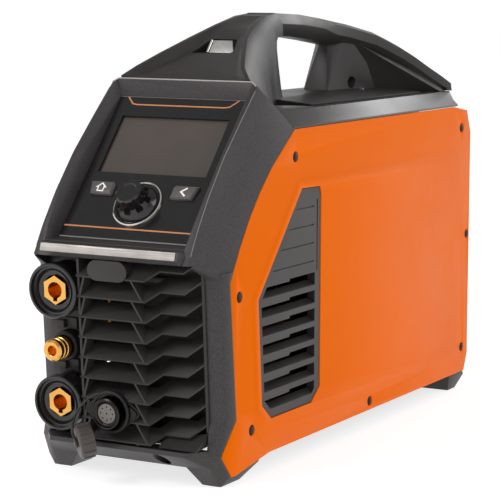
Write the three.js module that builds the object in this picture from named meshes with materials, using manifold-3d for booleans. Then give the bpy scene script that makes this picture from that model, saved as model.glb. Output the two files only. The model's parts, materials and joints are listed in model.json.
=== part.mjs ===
// Portable TIG welding machine with a sloped control panel, a louvred front, orange side
// panels and a carrying handle. Millimetres, +Z up, the front faces -Y and +X is its right side.
import * as THREE from "three";
import { ConvexGeometry } from "three/addons/geometries/ConvexGeometry.js";
import { mergeVertices } from "three/addons/utils/BufferGeometryUtils.js";
import Module from "manifold-3d";

const wasm = await Module();
wasm.setup();

// ---------------------------------------------------------------- driving dimensions

// Overall
const WIDTH = 174; // over the flat rims of the two side panels
const LENGTH = 513; // from the nose of the control hood to the rear bends
const DECK_Z = 288; // floor to the flat top deck
const HANDLE_RISE = 77; // deck to the top of the handle
const GAP = 0.3; // between pieces that touch
const FIT = 0.4; // round a piece that sits in an opening

// Walls
const SHELL = 3; // moulded plastic walls
const SHEET = 1.5; // steel side panels
const EMBOSS = 1.5; // height of the raised field in each side panel

// Control panel, tilted back from the floor
const PANEL_ANGLE = THREE.MathUtils.degToRad(48.8);
const FASCIA_HALF = WIDTH / 2 - 27;
const FASCIA_LENGTH = 142;
const FASCIA_T = 2;
const LCD_BORDER = 9.5; // fascia edge to the window's side
const LCD_BOTTOM = 65; // fascia's lower edge to the window
const LCD_HEIGHT = 57;
const KNOB_S = 35; // the encoder's centre above the fascia's lower edge
const KNOB_R = 19;
const KNOB_HEIGHT = 18;
const KNOB_TRAVEL = 0.8;
const BUTTON_S = 48;
const BUTTON_X = 38.5;
const BUTTON_W = 22;
const BUTTON_H = 12;
const BUTTON_STAND = 3; // cap above the fascia
const BUTTON_TRAVEL = 1.2;
const BAR_HEIGHT = 7.4; // bright bar along the nose

// Lower front: a plane that leans back towards the floor
const FRONT_LEAN = THREE.MathUtils.degToRad(3.7);
const LOUVRE_COUNT = 9;
const LOUVRE_PITCH = 16.3;
const LOUVRE_SLOPE = THREE.MathUtils.degToRad(33);
const LOUVRE_T = 1.8;
const LOUVRE_DEPTH = 15;
const SOCKET_R = 22.5;
const SOCKET_BORE = 6.6;
const SOCKET_FROM_EDGE = 33.4; // panel rim to the socket column
const SOCKET_DROP = 28.5; // front plane's top edge to the upper socket
const SOCKET_PITCH = 91.4;
const OUTLET_DROP = 76;
const OUTLET_R = 8.8;
const OUTLET_BORE = 4.2;
const SOCKET_WALL_DEPTH = 24; // front plane to the wall that carries the sockets
const REMOTE_FROM_GRILLE = 28.6; // grille's left wall to the remote socket
const REMOTE_DROP = 121;
const REMOTE_R = 13;
const CAP_R = 13.5;
const CAP_DEPTH = 12;

// Fan, rear controls
const FAN_SIZE = 120;
const FAN_DEPTH = 25;
const FAN_BLADES = 7;
const GUARD_SLOTS = 7;
const SWITCH_W = 21;
const SWITCH_H = 28;
const ROCKER_ANGLE = THREE.MathUtils.degToRad(12);

// Screws of the side panels
const SCREW_R = 3.4;
const SCREW_HOLE_R = 4.6;

// ---------------------------------------------------------------- main lines, worked out

const HALF = WIDTH / 2;
const NOSE_Y = -41;
const REAR_Y = NOSE_Y + LENGTH;
const BEND_Y = REAR_Y - 6.5; // where the side panels start to bend inwards
const PANEL_TOP = DECK_Z - 14;
const PANEL_BOTTOM = 16;
const INNER_X = HALF - SHEET; // inner faces of the side panels
const HOOD_Z = DECK_Z - 109.5; // lower edge of the hood's ridges
const HOOD_SIDE_Z = HOOD_Z - 17.3; // where the hood meets the lower front at the side
const TOE_Z = 27;
const FRAME_X = HALF - 15; // inner edge of the lower front's corner strips
const GRILLE_LEFT = -HALF + 56;
const RIDGE_HALF_LOW = HALF - 16;
const RIDGE_HALF_TOP = HALF - 18.5;

// Hood outline in the side view, [y, z], bottom to top: the ridge lines beside the fascia, and
// the edges where the hood's cheeks meet the side panels.
const RIDGE = [
  [-36.4, HOOD_Z],
  [-24, HOOD_Z + 22.5],
  [-6.5, HOOD_Z + 47.5],
  [18.5, HOOD_Z + 77],
  [45, HOOD_Z + 102.5],
  [75.7, HOOD_Z + 131],
];
const CHEEK = [
  [1.1, HOOD_SIDE_Z],
  [15.1, HOOD_Z + 7.5],
  [30.9, HOOD_Z + 30],
  [48, HOOD_Z + 49.5],
  [66.4, HOOD_Z + 67],
  [105.7, PANEL_TOP],
];
const HOOD_CREST = [77.3, HOOD_Z + 134.6]; // top edge of the hood
const FASCIA_FOOT = [-17.5, HOOD_Z + 12.5]; // the fascia's lower edge
const TOE = [-6, TOE_Z - 2];
const CREASE_Z = HOOD_Z - 126; // where the front corners are narrowest
const TUCK_Y = 10; // where the front corners start to tuck in towards the toes
const TOE_IN = 4.3; // how far the toes tuck in
const PANEL_OUTLINE = [
  ...CHEEK,
  [BEND_Y - 39, PANEL_TOP],
  [BEND_Y - 9, PANEL_TOP - 4.5],
  [REAR_Y - 3, PANEL_TOP - 34],
  [REAR_Y + 1, PANEL_TOP - 75],
  [REAR_Y + 1, PANEL_BOTTOM + 60],
  [REAR_Y - 5, PANEL_BOTTOM + 20],
  [REAR_Y - 14, PANEL_BOTTOM],
  [64, PANEL_BOTTOM],
  [5.3, 7.7],
  TOE,
  [10.7, CREASE_Z],
];
const VENT_OUTLINE = [
  [43.2, 142.9],
  [49.4, 57.2],
  [64.5, 44.3],
  [134, 44.3],
  [148.9, 55.8],
  [149.6, PANEL_TOP - 56],
  [147, PANEL_TOP - 50],
  [115.8, PANEL_TOP - 49.3],
];
const EMBOSS_OUTLINE = [
  [35.5, 143],
  [42, 54],
  [61, 37],
  [BEND_Y - 38, 37],
  [BEND_Y - 28, 47],
  [BEND_Y - 28, PANEL_TOP - 52],
  [BEND_Y - 38, PANEL_TOP - 42],
  [112, PANEL_TOP - 42],
];
const PANEL_SCREWS = [
  [106.8, PANEL_TOP - 22.4],
  [15.2, 149.1],
  [35.1, 39.7],
  [248.9, 24],
  [BEND_Y - 14, 40.1],
  [BEND_Y - 21, PANEL_TOP - 20.7],
  [BEND_Y - 5.5, 150.1],
];
const REAR_SCREWS = 4; // index of the first screw that goes into the rear moulding

// ---------------------------------------------------------------- solids

// A manifold-3d solid from a three.js geometry, facing out.
function solid(geometry) {
  const flat = geometry.index ? geometry.toNonIndexed() : geometry;
  const bare = new THREE.BufferGeometry().setAttribute("position", flat.getAttribute("position"));
  const merged = mergeVertices(bare, 1e-4);
  const corners = [];
  const index = merged.index.array;
  for (let i = 0; i < index.length; i += 3) {
    const [a, b, c] = [index[i], index[i + 1], index[i + 2]];
    if (a !== b && b !== c && c !== a) corners.push(a, b, c);
  }
  const build = (triVerts) =>
    new wasm.Manifold(
      new wasm.Mesh({
        numProp: 3,
        vertProperties: new Float32Array(merged.attributes.position.array),
        triVerts: new Uint32Array(triVerts),
      }),
    );
  const made = build(corners);
  return made.volume() < 0 ? build(corners.reverse()) : made;
}

const AXIS_X = new THREE.Vector3(1, 0, 0);
const AXIS_Y = new THREE.Vector3(0, 1, 0);
const AXIS_Z = new THREE.Vector3(0, 0, 1);

function prism(points, from, to, right, up, along, place = [0, 0, 0]) {
  const shape = new THREE.Shape(points.map(([a, b]) => new THREE.Vector2(a, b)));
  const geometry = new THREE.ExtrudeGeometry(shape, { depth: to - from, bevelEnabled: false });
  geometry.translate(0, 0, from);
  geometry.applyMatrix4(new THREE.Matrix4().makeBasis(right, up, along));
  return solid(geometry.translate(...place));
}

// Prisms along each axis: [y, z] outlines along X, [x, z] along Y and [x, y] along Z.
const alongX = (points, x0, x1) => prism(points, x0, x1, AXIS_Y, AXIS_Z, AXIS_X);
const alongZ = (points, z0, z1) => prism(points, z0, z1, AXIS_X, AXIS_Y, AXIS_Z);
const alongY = (points, y0, y1) =>
  prism(points, -y1, -y0, AXIS_X, AXIS_Z, AXIS_Y.clone().negate());

function box(x0, x1, y0, y1, z0, z1) {
  const geometry = new THREE.BoxGeometry(x1 - x0, y1 - y0, z1 - z0);
  return solid(geometry.translate((x0 + x1) / 2, (y0 + y1) / 2, (z0 + z1) / 2));
}

const hull = (points) =>
  solid(new ConvexGeometry(points.map((p) => new THREE.Vector3(...p))));

const union = (solids) => solids.reduce((all, next) => all.add(next));

// A body through a row of cross-sections, each a list of corner points.
function loft(sections) {
  return union(sections.slice(1).map((section, i) => hull([...sections[i], ...section])));
}

// The same point on both sides of the machine.
const pair = (x, y, z) => [
  [-x, y, z],
  [x, y, z],
];

function circle(cx, cy, radius, sides = 24, phase = 0) {
  return Array.from({ length: sides }, (_, i) => {
    const angle = phase + (i * 2 * Math.PI) / sides;
    return [cx + radius * Math.cos(angle), cy + radius * Math.sin(angle)];
  });
}

// A turned body. The profile is [radius, height] and the height runs towards -Y.
function turned(profile, x, z, sides = 32) {
  const points = profile.map(([r, h]) => new THREE.Vector2(r, h));
  const geometry = new THREE.LatheGeometry(points, sides);
  geometry.rotateX(Math.PI);
  return solid(geometry.translate(x, 0, z));
}

// An outline moved outwards by a distance, corner by corner; inwards where it is negative.
function grown(points, distance) {
  const area = points.reduce((sum, [a, b], i) => {
    const [c, d] = points[(i + 1) % points.length];
    return sum + a * d - b * c;
  }, 0);
  const turn = Math.sign(area) * distance;
  return points.map((here, i) => {
    const before = points[(i + points.length - 1) % points.length];
    const after = points[(i + 1) % points.length];
    const normal = ([a, b], [c, d]) => {
      const size = Math.hypot(c - a, d - b);
      return [(d - b) / size, (a - c) / size];
    };
    const [n1, n2] = [normal(before, here), normal(here, after)];
    const scale = turn / (1 + n1[0] * n2[0] + n1[1] * n2[1]);
    return [here[0] + (n1[0] + n2[0]) * scale, here[1] + (n1[1] + n2[1]) * scale];
  });
}

const mirrored = (body) => body.mirror([1, 0, 0]);

// ---------------------------------------------------------------- frames of the two fronts

const [SIN, COS] = [Math.sin(PANEL_ANGLE), Math.cos(PANEL_ANGLE)];
const PANEL_UP = new THREE.Vector3(0, COS, SIN);
const PANEL_OUT = new THREE.Vector3(0, -SIN, COS);

// A point on the tilted control panel: x across, s up the slope, n out of the fascia's face.
const onPanel = (x, s, n) => [
  x,
  FASCIA_FOOT[0] + s * COS - n * SIN,
  FASCIA_FOOT[1] + s * SIN + n * COS,
];
const outOfPanel = (points, n0, n1) =>
  prism(points, n0, n1, AXIS_X, PANEL_UP, PANEL_OUT, onPanel(0, 0, 0));

// A turned body whose axis stands out of the control panel.
function turnedOnPanel(profile, x, s, sides = 36) {
  const points = profile.map(([r, n]) => new THREE.Vector2(r, n));
  const geometry = new THREE.LatheGeometry(points, sides);
  const down = PANEL_UP.clone().negate();
  geometry.applyMatrix4(new THREE.Matrix4().makeBasis(AXIS_X, PANEL_OUT, down));
  return solid(geometry.translate(...onPanel(x, s, 0)));
}

// The lower front is built upright with its front plane at y = 0 and its top edge at z = 0,
// and then stands in a group that leans back.
const LOWER_FRONT_Y = NOSE_Y + 3;
const lowerFront = new THREE.Group();
lowerFront.position.set(0, LOWER_FRONT_Y, HOOD_Z);
lowerFront.rotation.x = FRONT_LEAN;
const SOCKET_X = -HALF + SOCKET_FROM_EDGE;
const SOCKETS = { positive: -SOCKET_DROP - SOCKET_PITCH, negative: -SOCKET_DROP };
const REMOTE_X = GRILLE_LEFT + REMOTE_FROM_GRILLE;
const GRILLE_BOTTOM = -(HOOD_Z - 32);
const GRILLE_FIRST = -14;

function leaned(body) {
  const turn = THREE.MathUtils.radToDeg(FRONT_LEAN);
  return body.rotate([turn, 0, 0]).translate([0, LOWER_FRONT_Y, HOOD_Z]);
}

const machine = new THREE.Group();

const finish = (color, roughness, metalness = 0) => ({ color, roughness, metalness });
const FINISH = {
  bezel: finish(0x3b3939, 0.55),
  grille: finish(0x343333, 0.6),
  fascia: finish(0x1b1a1a, 0.18),
  screen: finish(0x50483f, 0.15),
  silver: finish(0xb9b4b0, 0.35, 0.9),
  key: finish(0x6b6765, 0.5),
  knob: finish(0x3f3c3b, 0.45),
  chrome: finish(0xd8d8d6, 0.12, 1),
  socket: finish(0x262525, 0.4),
  brass: finish(0xd9a441, 0.25, 1),
  rubber: finish(0x2a2929, 0.8),
  remote: finish(0x2e2d2d, 0.4, 0.5),
  insert: finish(0x77736f, 0.6),
  cap: finish(0x6f6a67, 0.55),
  orange: finish(0xf07a00, 0.42),
  screw: finish(0x2b2a2a, 0.35, 0.8),
  board: finish(0x1f5a3a, 0.6),
  aluminium: finish(0xb8bcc0, 0.4, 1),
  ferrite: finish(0x4a4642, 0.7),
  copper: finish(0xb87333, 0.35, 1),
  fan: finish(0x1d1d1e, 0.5),
  can: finish(0x2a3550, 0.4),
};

function add(name, body, look, parent = machine) {
  const { vertProperties, triVerts } = body.getMesh();
  const geometry = new THREE.BufferGeometry();
  geometry.setAttribute("position", new THREE.BufferAttribute(vertProperties, 3));
  geometry.setIndex(new THREE.BufferAttribute(triVerts, 1));
  const flat = geometry.toNonIndexed();
  flat.computeVertexNormals();
  const mesh = new THREE.Mesh(flat, new THREE.MeshStandardMaterial(look));
  mesh.name = name;
  parent.add(mesh);
}

// ---------------------------------------------------------------- front bezel

// The room that each side panel needs, cut from what lies behind its edge.
function panelRoom() {
  const inner = INNER_X - GAP;
  const reach = 3; // in front of the toe
  const tuck = (TOE_IN * (TUCK_Y - TOE[0] + reach)) / (TUCK_Y - TOE[0]);
  const plan = [
    [inner - tuck, TOE[0] - reach],
    [HALF + 20, TOE[0] - reach],
    [HALF + 20, REAR_Y + 10],
    [inner, REAR_Y + 10],
    [inner, TUCK_Y],
  ];
  const outline = alongX(grown(PANEL_OUTLINE, FIT), inner - tuck, HALF + 20);
  const room = alongZ(plan, 0, DECK_Z).intersect(outline);
  return room.add(mirrored(room));
}

// The plane between the hood and the top cover, as a cutting body above and behind it.
function behindHood(gap) {
  const [y, z] = HOOD_CREST;
  const [endY, endZ] = CHEEK[CHEEK.length - 1];
  const slope = (endY - y) / (z - endZ);
  const up = HANDLE_RISE;
  return alongX(
    [
      [y + gap + up * slope, z - up],
      [y + gap - up * slope, z + up],
      [y + LENGTH, z + up],
      [y + LENGTH, z - up],
    ],
    -HALF - 20,
    HALF + 20,
  );
}

function hood() {
  const last = RIDGE.length - 1;
  const half = (i) => RIDGE_HALF_LOW + ((RIDGE_HALF_TOP - RIDGE_HALF_LOW) * i) / last;
  const outer = RIDGE.map(([y, z], i) => [
    ...pair(half(i), y, z),
    ...pair(HALF, ...CHEEK[i]),
    ...pair(HALF - 2, CHEEK[i][0] + 7, CHEEK[i][1] - 6),
  ]);
  outer[last].push(...pair(HALF - 25, ...HOOD_CREST));
  const nose = hull([
    ...pair(FASCIA_HALF + 4, NOSE_Y + 2.3, HOOD_Z + 10.6),
    ...pair(FASCIA_HALF + 4, NOSE_Y, HOOD_Z + 3.4),
    ...pair(FASCIA_HALF + 4, NOSE_Y + 3.5, HOOD_Z),
    ...pair(RIDGE_HALF_LOW - 1, -24, HOOD_Z + 0.5),
    ...pair(FASCIA_HALF + 4, -16, HOOD_Z + 11.5),
  ]);
  const below = -FASCIA_T - GAP - SHELL; // underside of the ledge round the fascia
  const inner = RIDGE.map(([y, z], i) => {
    const [dy, dz] = [y - FASCIA_FOOT[0], z - FASCIA_FOOT[1]];
    const s = Math.max(dy * COS + dz * SIN, SHELL);
    const [cheekY, cheekZ] = CHEEK[i];
    const lift = i === 0 ? 2 * SHELL : 0;
    return [
      ...[-1, 1].map((side) => onPanel(side * (half(i) - 9), Math.min(s, 147), below)),
      ...pair(HALF - SHELL - 1, cheekY + 2, cheekZ - 2.5 + lift),
      ...pair(HALF - SHELL - 1, cheekY + 45, cheekZ - 42 + lift),
      ...pair(half(i) - 9, cheekY + 60, cheekZ - 42 + lift),
    ];
  });
  return union([loft(outer), nose]).subtract(loft(inner));
}

// What is cut out of the hood for the fascia and what stands behind it.
function fasciaRecess() {
  const wedge = [
    [0, 0],
    [FASCIA_LENGTH + FIT, 0],
    [FASCIA_LENGTH + 12, 9],
    [FASCIA_LENGTH + 18, 40],
    [-15.6, 40],
    [-15.6, 15],
  ];
  const spread = (n) => FASCIA_HALF + FIT + 0.45 * n;
  const open = hull(
    wedge.flatMap(([s, n]) => [onPanel(-spread(n), s, n), onPanel(spread(n), s, n)]),
  );
  const seat = outOfPanel(
    rectangle(0, FASCIA_LENGTH / 2, FASCIA_HALF + FIT, FASCIA_LENGTH / 2 + FIT),
    -FASCIA_T - GAP,
    1,
  );
  const ledge = 4;
  const window = outOfPanel(
    rectangle(0, FASCIA_LENGTH / 2, FASCIA_HALF - ledge, FASCIA_LENGTH / 2 - ledge),
    -FASCIA_T - SHELL - 2,
    0,
  );
  return union([open, seat, window]);
}

// A rectangle round a centre, by its half sizes.
function rectangle(cx, cy, halfW, halfH) {
  return [
    [cx - halfW, cy - halfH],
    [cx + halfW, cy - halfH],
    [cx + halfW, cy + halfH],
    [cx - halfW, cy + halfH],
  ];
}

// One corner strip of the lower front with its foot, on the +X side.
function cornerStrip() {
  // height, inner edge, its depth, outer edge, its depth, and how far the rounded corner stands
  // in front of the outer edge
  const levels = [
    [HOOD_SIDE_Z + 9, FRAME_X, -13, HALF, -2, 6],
    [HOOD_SIDE_Z + 1.5, FRAME_X, -12.4, HALF, -1.5, 6],
    [CREASE_Z, FRAME_X, -5.2, HALF, 7.2, 7],
    [TOE_Z, FRAME_X + 2, -14, HALF - TOE_IN, -9, 1.5],
  ];
  const face = levels.map(([z, x, inY, edge, outY, crown]) => [
    [x, inY, z],
    [edge - 2.2, outY - crown, z],
    [edge, outY, z],
    [edge, outY + SHELL, z],
    [x, inY + SHELL + 1, z],
  ]);
  const side = levels.map(([z, , , edge, outY]) => [
    [edge - SHELL - 2, outY, z],
    [edge, outY, z],
    [edge, outY + 16, z],
    [edge - SHELL - 2, outY + 16, z],
  ]);
  const sole = { outer: HALF - 8.5, inner: HALF - 25, front: 0.5, rear: 30 };
  const foot = hull([
    [FRAME_X - 24, -8, TOE_Z - 9],
    [FRAME_X + 2, -14, TOE_Z],
    [HALF - TOE_IN, -9, TOE_Z],
    [HALF - 2, 2, 8],
    [HALF, 20, TOE_Z],
    [sole.outer, sole.front, 0],
    [sole.outer - 5.5, sole.front - 0.5, 0],
    [sole.inner, sole.front, 0],
    [sole.outer, sole.rear, 0],
    [sole.inner, sole.rear, 0],
    [HALF - 3, 52, 11],
    [HALF - 34, 52, 11],
    [HALF - 3, 52, PANEL_BOTTOM - 1],
    [FRAME_X - 22, 52, PANEL_BOTTOM - 1],
    [FRAME_X - 22, 0, PANEL_BOTTOM - 1],
  ]);
  return union([loft(face), loft(side), foot]);
}

const CHIN = [
  [-28, 31],
  [-28.5, 27.5],
  [-6, 14],
  [8, 14],
  [8, 18],
  [-10, 31],
];

function frontBezel() {
  const strip = cornerStrip();
  const chin = hull([
    ...CHIN.flatMap(([y, z]) => pair(FRAME_X - 9, y, z)),
    ...CHIN.flatMap(([y, z]) => pair(FRAME_X + 3, Math.max(y, -14), z)),
  ]);
  const eye = alongY(circle(HALF - 51, 21.5, 6.2, 16), -40, 10);
  const whole = union([hood().subtract(fasciaRecess()), strip, mirrored(strip), chin]);
  const grilleRoom = leaned(
    box(-FRAME_X - GAP, FRAME_X + GAP, -3, 45, GRILLE_BOTTOM - GAP, -GAP),
  );
  return whole
    .subtract(union([grilleRoom, eye, mirrored(eye), panelRoom(), behindHood(-FIT / 2)]))
    .subtract(barSeat(GAP));
}

// The bright bar's seat on the nose, grown by a clearance.
function barSeat(clearance) {
  const run = [NOSE_Y + 2.3, HOOD_Z + 10.6];
  const foot = [NOSE_Y, HOOD_Z + 3.4];
  const size = Math.hypot(run[0] - foot[0], run[1] - foot[1]);
  const [uy, uz] = [(run[0] - foot[0]) / size, (run[1] - foot[1]) / size];
  const half = BAR_HEIGHT / 2 - 0.4 + clearance;
  const middle = [(run[0] + foot[0]) / 2, (run[1] + foot[1]) / 2];
  const corner = (along, deep) => [
    middle[0] + uy * along + uz * deep,
    middle[1] + uz * along - uy * deep,
  ];
  return alongX(
    [
      corner(-half, -0.6),
      corner(half, -0.6),
      corner(half, 1.4 + clearance),
      corner(-half, 1.4 + clearance),
    ],
    -FASCIA_HALF - 2 - clearance,
    FASCIA_HALF + 2 + clearance,
  );
}

// ---------------------------------------------------------------- control panel pieces

const LCD_HALF = FASCIA_HALF - LCD_BORDER;
const LCD_MIDDLE = LCD_BOTTOM + LCD_HEIGHT / 2;

// Key outline: the outer side leans inwards towards the bottom.
function keyOutline(clearance) {
  const [halfW, halfH] = [BUTTON_W / 2, BUTTON_H / 2];
  return grown(
    [
      [BUTTON_X - halfW, BUTTON_S - halfH],
      [BUTTON_X + halfW - 2.5, BUTTON_S - halfH],
      [BUTTON_X + halfW + 0.5, BUTTON_S + halfH],
      [BUTTON_X - halfW + 1.5, BUTTON_S + halfH],
      [BUTTON_X - halfW, BUTTON_S + halfH - 2],
    ],
    clearance,
  );
}

function controlFascia() {
  const plate = outOfPanel(
    rectangle(0, FASCIA_LENGTH / 2, FASCIA_HALF, FASCIA_LENGTH / 2),
    -FASCIA_T,
    0,
  );
  const window = outOfPanel(
    rectangle(0, LCD_MIDDLE, LCD_HALF, LCD_HEIGHT / 2),
    -FASCIA_T - 1,
    1,
  );
  const key = outOfPanel(keyOutline(FIT), -FASCIA_T - 1, 1);
  const shaft = outOfPanel(circle(0, KNOB_S, 4.2, 20), -FASCIA_T - 1, 1);
  return plate.subtract(union([window, key, mirrored(key), shaft]));
}

const LCD_TOP = -FASCIA_T - GAP;
const LCD_T = 5;
const LCD_RIM = 3;
const BOARD_TOP = LCD_TOP - LCD_T - 6;

function lcdModule() {
  return outOfPanel(
    rectangle(0, LCD_MIDDLE, LCD_HALF + LCD_RIM, LCD_HEIGHT / 2 + LCD_RIM),
    LCD_TOP - LCD_T,
    LCD_TOP,
  );
}

// A key with the flange under the fascia that keeps it in and a stem towards the board.
function panelKey() {
  const cap = outOfPanel(keyOutline(0), LCD_TOP - 0.5, BUTTON_STAND - 0.8);
  const crown = outOfPanel(keyOutline(-0.8), BUTTON_STAND - 1, BUTTON_STAND);
  const flange = outOfPanel(keyOutline(1.2), LCD_TOP - 2, LCD_TOP);
  const stem = outOfPanel(circle(BUTTON_X, BUTTON_S, 2, 12), BOARD_TOP + 2, LCD_TOP - 1);
  return union([cap, crown, flange, stem]);
}

const ENCODER_TOP = LCD_TOP - 1;
const SHAFT_R = 3;
const SHAFT_TOP = KNOB_HEIGHT - 7;

// The board behind the panel, with the encoder's body and the two key switches on it.
function displayBoard() {
  const plate = outOfPanel(
    rectangle(0, FASCIA_LENGTH / 2, FASCIA_HALF - 6, FASCIA_LENGTH / 2 - 6),
    BOARD_TOP - 1.6,
    BOARD_TOP,
  );
  const encoder = outOfPanel(rectangle(0, KNOB_S, 6.5, 6.5), BOARD_TOP - 0.5, ENCODER_TOP);
  const bore = outOfPanel(circle(0, KNOB_S, SHAFT_R + FIT, 20), BOARD_TOP + 1, 5);
  const contact = outOfPanel(rectangle(BUTTON_X, BUTTON_S, 3, 3), BOARD_TOP - 0.5, BOARD_TOP + 0.5);
  const chip = outOfPanel(rectangle(0, LCD_MIDDLE, 9, 9), BOARD_TOP - 3.4, BOARD_TOP - 1);
  return union([plate, encoder, contact, mirrored(contact), chip]).subtract(bore);
}

function encoderShaft() {
  return turnedOnPanel(
    [
      [0, BOARD_TOP + 1 + KNOB_TRAVEL + GAP],
      [SHAFT_R, BOARD_TOP + 1 + KNOB_TRAVEL + GAP],
      [SHAFT_R, SHAFT_TOP],
      [0, SHAFT_TOP],
    ],
    0,
    KNOB_S,
    20,
  );
}

const KNOB_FOOT = KNOB_TRAVEL + 0.6; // above the fascia
const GRIP_R = 11.5;

function encoderKnob() {
  const top = KNOB_FOOT + KNOB_HEIGHT;
  const body = turnedOnPanel(
    [
      [0, KNOB_FOOT],
      [KNOB_R - 0.8, KNOB_FOOT],
      [KNOB_R, KNOB_FOOT + 0.8],
      [KNOB_R - 0.6, KNOB_FOOT + 2.5],
      [KNOB_R - 3.4, KNOB_FOOT + 5],
      [GRIP_R + 1.6, KNOB_FOOT + 7.8],
      [GRIP_R + 0.6, KNOB_FOOT + 10],
      [GRIP_R, top - 1.5],
      [GRIP_R - 1.5, top],
      [GRIP_R - 4, top],
      [GRIP_R - 5, top - 0.8],
      [0, top - 0.8],
    ],
    0,
    KNOB_S,
    28,
  );
  const flutes = 8;
  const cuts = circle(0, KNOB_S, GRIP_R + 2.1, flutes).map(([x, s]) =>
    outOfPanel(circle(x, s, 3, 8), KNOB_FOOT + 5.5, top + 1),
  );
  const bore = outOfPanel(circle(0, KNOB_S, SHAFT_R + 0.12, 20), KNOB_FOOT - 1, SHAFT_TOP + GAP);
  return body.subtract(union([...cuts, bore]));
}

function knobRing() {
  return turnedOnPanel(
    [
      [KNOB_R + 0.5, GAP],
      [KNOB_R + 2.5, GAP],
      [KNOB_R + 2.2, 1.8],
      [KNOB_R + 1.2, 2.3],
      [KNOB_R + 0.5, 1.8],
      [KNOB_R + 0.5, GAP],
    ],
    0,
    KNOB_S,
    32,
  );
}

// ---------------------------------------------------------------- lower front pieces

// One zig-zag louvre: its front edge steps back twice towards the machine's right side.
function louvre(z) {
  const run = Math.cos(LOUVRE_SLOPE);
  const right = FRAME_X - 1;
  const front = [
    [GRILLE_LEFT, 0],
    [right - 39, 0],
    [right - 31, 10 / run],
    [right - 9.5, 10 / run],
    [right, 23 / run],
  ];
  const back = front.map(([x, y]) => [x, y + LOUVRE_DEPTH / run]).reverse();
  const blade = alongZ([...front, ...back], -LOUVRE_T, 0);
  const under = box(-HALF, HALF, -10, 80, GRILLE_BOTTOM, -1);
  return blade
    .rotate([THREE.MathUtils.radToDeg(LOUVRE_SLOPE), 0, 0])
    .translate([0, 0, z])
    .intersect(under);
}

// The two slanted fins that stand between one louvre and the next.
function fins(z) {
  const rise = LOUVRE_PITCH - 1;
  const fin = (x, lean) =>
    alongY(
      [
        [x, z],
        [x + 1.8, z],
        [x + 1.8 + lean, z + rise],
        [x + lean, z + rise],
      ],
      0.6,
      12,
    );
  return union([fin(GRILLE_LEFT + 1.6, 4.6), fin(FRAME_X - 44, -9.5)]);
}

const REMOTE_FLANGE = [
  [25, 0],
  [0, 17],
  [-25, 0],
  [0, -17],
];

// The rhombic outline of the remote socket's flange, with rounded corners.
function rhombus(grow) {
  const tip = 4.2 + grow;
  const belly = 14 + grow;
  const [halfW] = REMOTE_FLANGE[0];
  const ends = [
    ...circle(halfW - 4.2, 0, tip, 12),
    ...circle(4.2 - halfW, 0, tip, 12),
    ...circle(0, 3, belly, 24),
    ...circle(0, -3, belly, 24),
  ];
  return ends.map(([x, z]) => [x + REMOTE_X, z - REMOTE_DROP]);
}

function rhombicPlate(grow, y0, y1) {
  return hull(rhombus(grow).flatMap(([x, z]) => [[x, y0, z], [x, y1, z]]));
}

const BLANK = { x: GRILLE_LEFT + 29.4, z: -8.8, half: 18.2, radius: 8.2 };

function oval(grow, y0, y1) {
  const outline = [-1, 1].flatMap((side) =>
    circle(BLANK.x + side * (BLANK.half - BLANK.radius), BLANK.z, BLANK.radius + grow, 20),
  );
  return hull(outline.flatMap(([x, z]) => [[x, y0, z], [x, y1, z]]));
}

function frontGrille() {
  const wall = SOCKET_WALL_DEPTH;
  const top = -1;
  const levels = Array.from({ length: LOUVRE_COUNT }, (_, i) => GRILLE_FIRST - i * LOUVRE_PITCH);
  const lowest = levels[LOUVRE_COUNT - 1];
  const pieces = [
    box(-FRAME_X, GRILLE_LEFT + 1, wall, wall + SHELL, GRILLE_BOTTOM, top), // socket wall
    box(GRILLE_LEFT, GRILLE_LEFT + 2, 2, wall + 12, GRILLE_BOTTOM, top), // step
    box(FRAME_X - 2, FRAME_X, wall - 1.5, wall + 16, GRILLE_BOTTOM, top), // right wall
    box(GRILLE_LEFT - 1, FRAME_X, wall + 6, wall + 8, -11, top), // top rail
    ...levels.map(louvre),
    ...levels.slice(1).map(fins),
    fins(lowest - LOUVRE_PITCH).intersect(
      box(-HALF, HALF, 0, wall, GRILLE_BOTTOM, lowest + 2),
    ),
    oval(-1.5, 1.6 + GAP, wall + 7),
    rhombicPlate(-0.8, 2 + GAP, 14),
  ];
  // the light sill in front of the lowest louvre's recess, and a floor behind it
  const sillLeft = FRAME_X - 34;
  pieces.push(
    hull([
      [sillLeft, 2, GRILLE_BOTTOM],
      [FRAME_X, 2, GRILLE_BOTTOM],
      [sillLeft, 13, GRILLE_BOTTOM + 6],
      [FRAME_X, 21, GRILLE_BOTTOM + 10],
      [sillLeft, 15, GRILLE_BOTTOM],
      [FRAME_X, 23, GRILLE_BOTTOM],
    ]),
    box(GRILLE_LEFT - 2, FRAME_X, 12, wall + 12, GRILLE_BOTTOM, GRILLE_BOTTOM + 2),
  );
  // small moulded blocks beside the gas outlet
  for (const z of [-OUTLET_DROP + 17, -OUTLET_DROP - 17]) {
    pieces.push(box(SOCKET_X - 14, SOCKET_X - 2, wall - 8, wall + 1, z - 3, z + 3));
    pieces.push(box(SOCKET_X - 14, SOCKET_X + 7, wall - 3, wall + 1, z - 4.5, z + 4.5));
  }
  const holes = [
    ...Object.values(SOCKETS).map((z) => turnedHole(9.4, SOCKET_X, z, 30)),
    turnedHole(OUTLET_R - 1 + FIT, SOCKET_X, -OUTLET_DROP, 30),
    turnedHole(10 + FIT, REMOTE_X, -REMOTE_DROP, 20),
    oval(GAP, -2, 1.6 + GAP),
    rhombicPlate(GAP, -2, 2 + GAP),
    alongY(circle(SOCKET_X, SOCKETS.positive, SOCKET_R + FIT, 40), -2, wall - GAP / 2),
    alongY(circle(SOCKET_X, SOCKETS.negative, SOCKET_R + FIT, 40), -2, wall - GAP / 2),
  ];
  return union(pieces).subtract(union(holes));
}

const turnedHole = (radius, x, z, depth) => alongY(circle(x, z, radius, 28), -5, depth);

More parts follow.
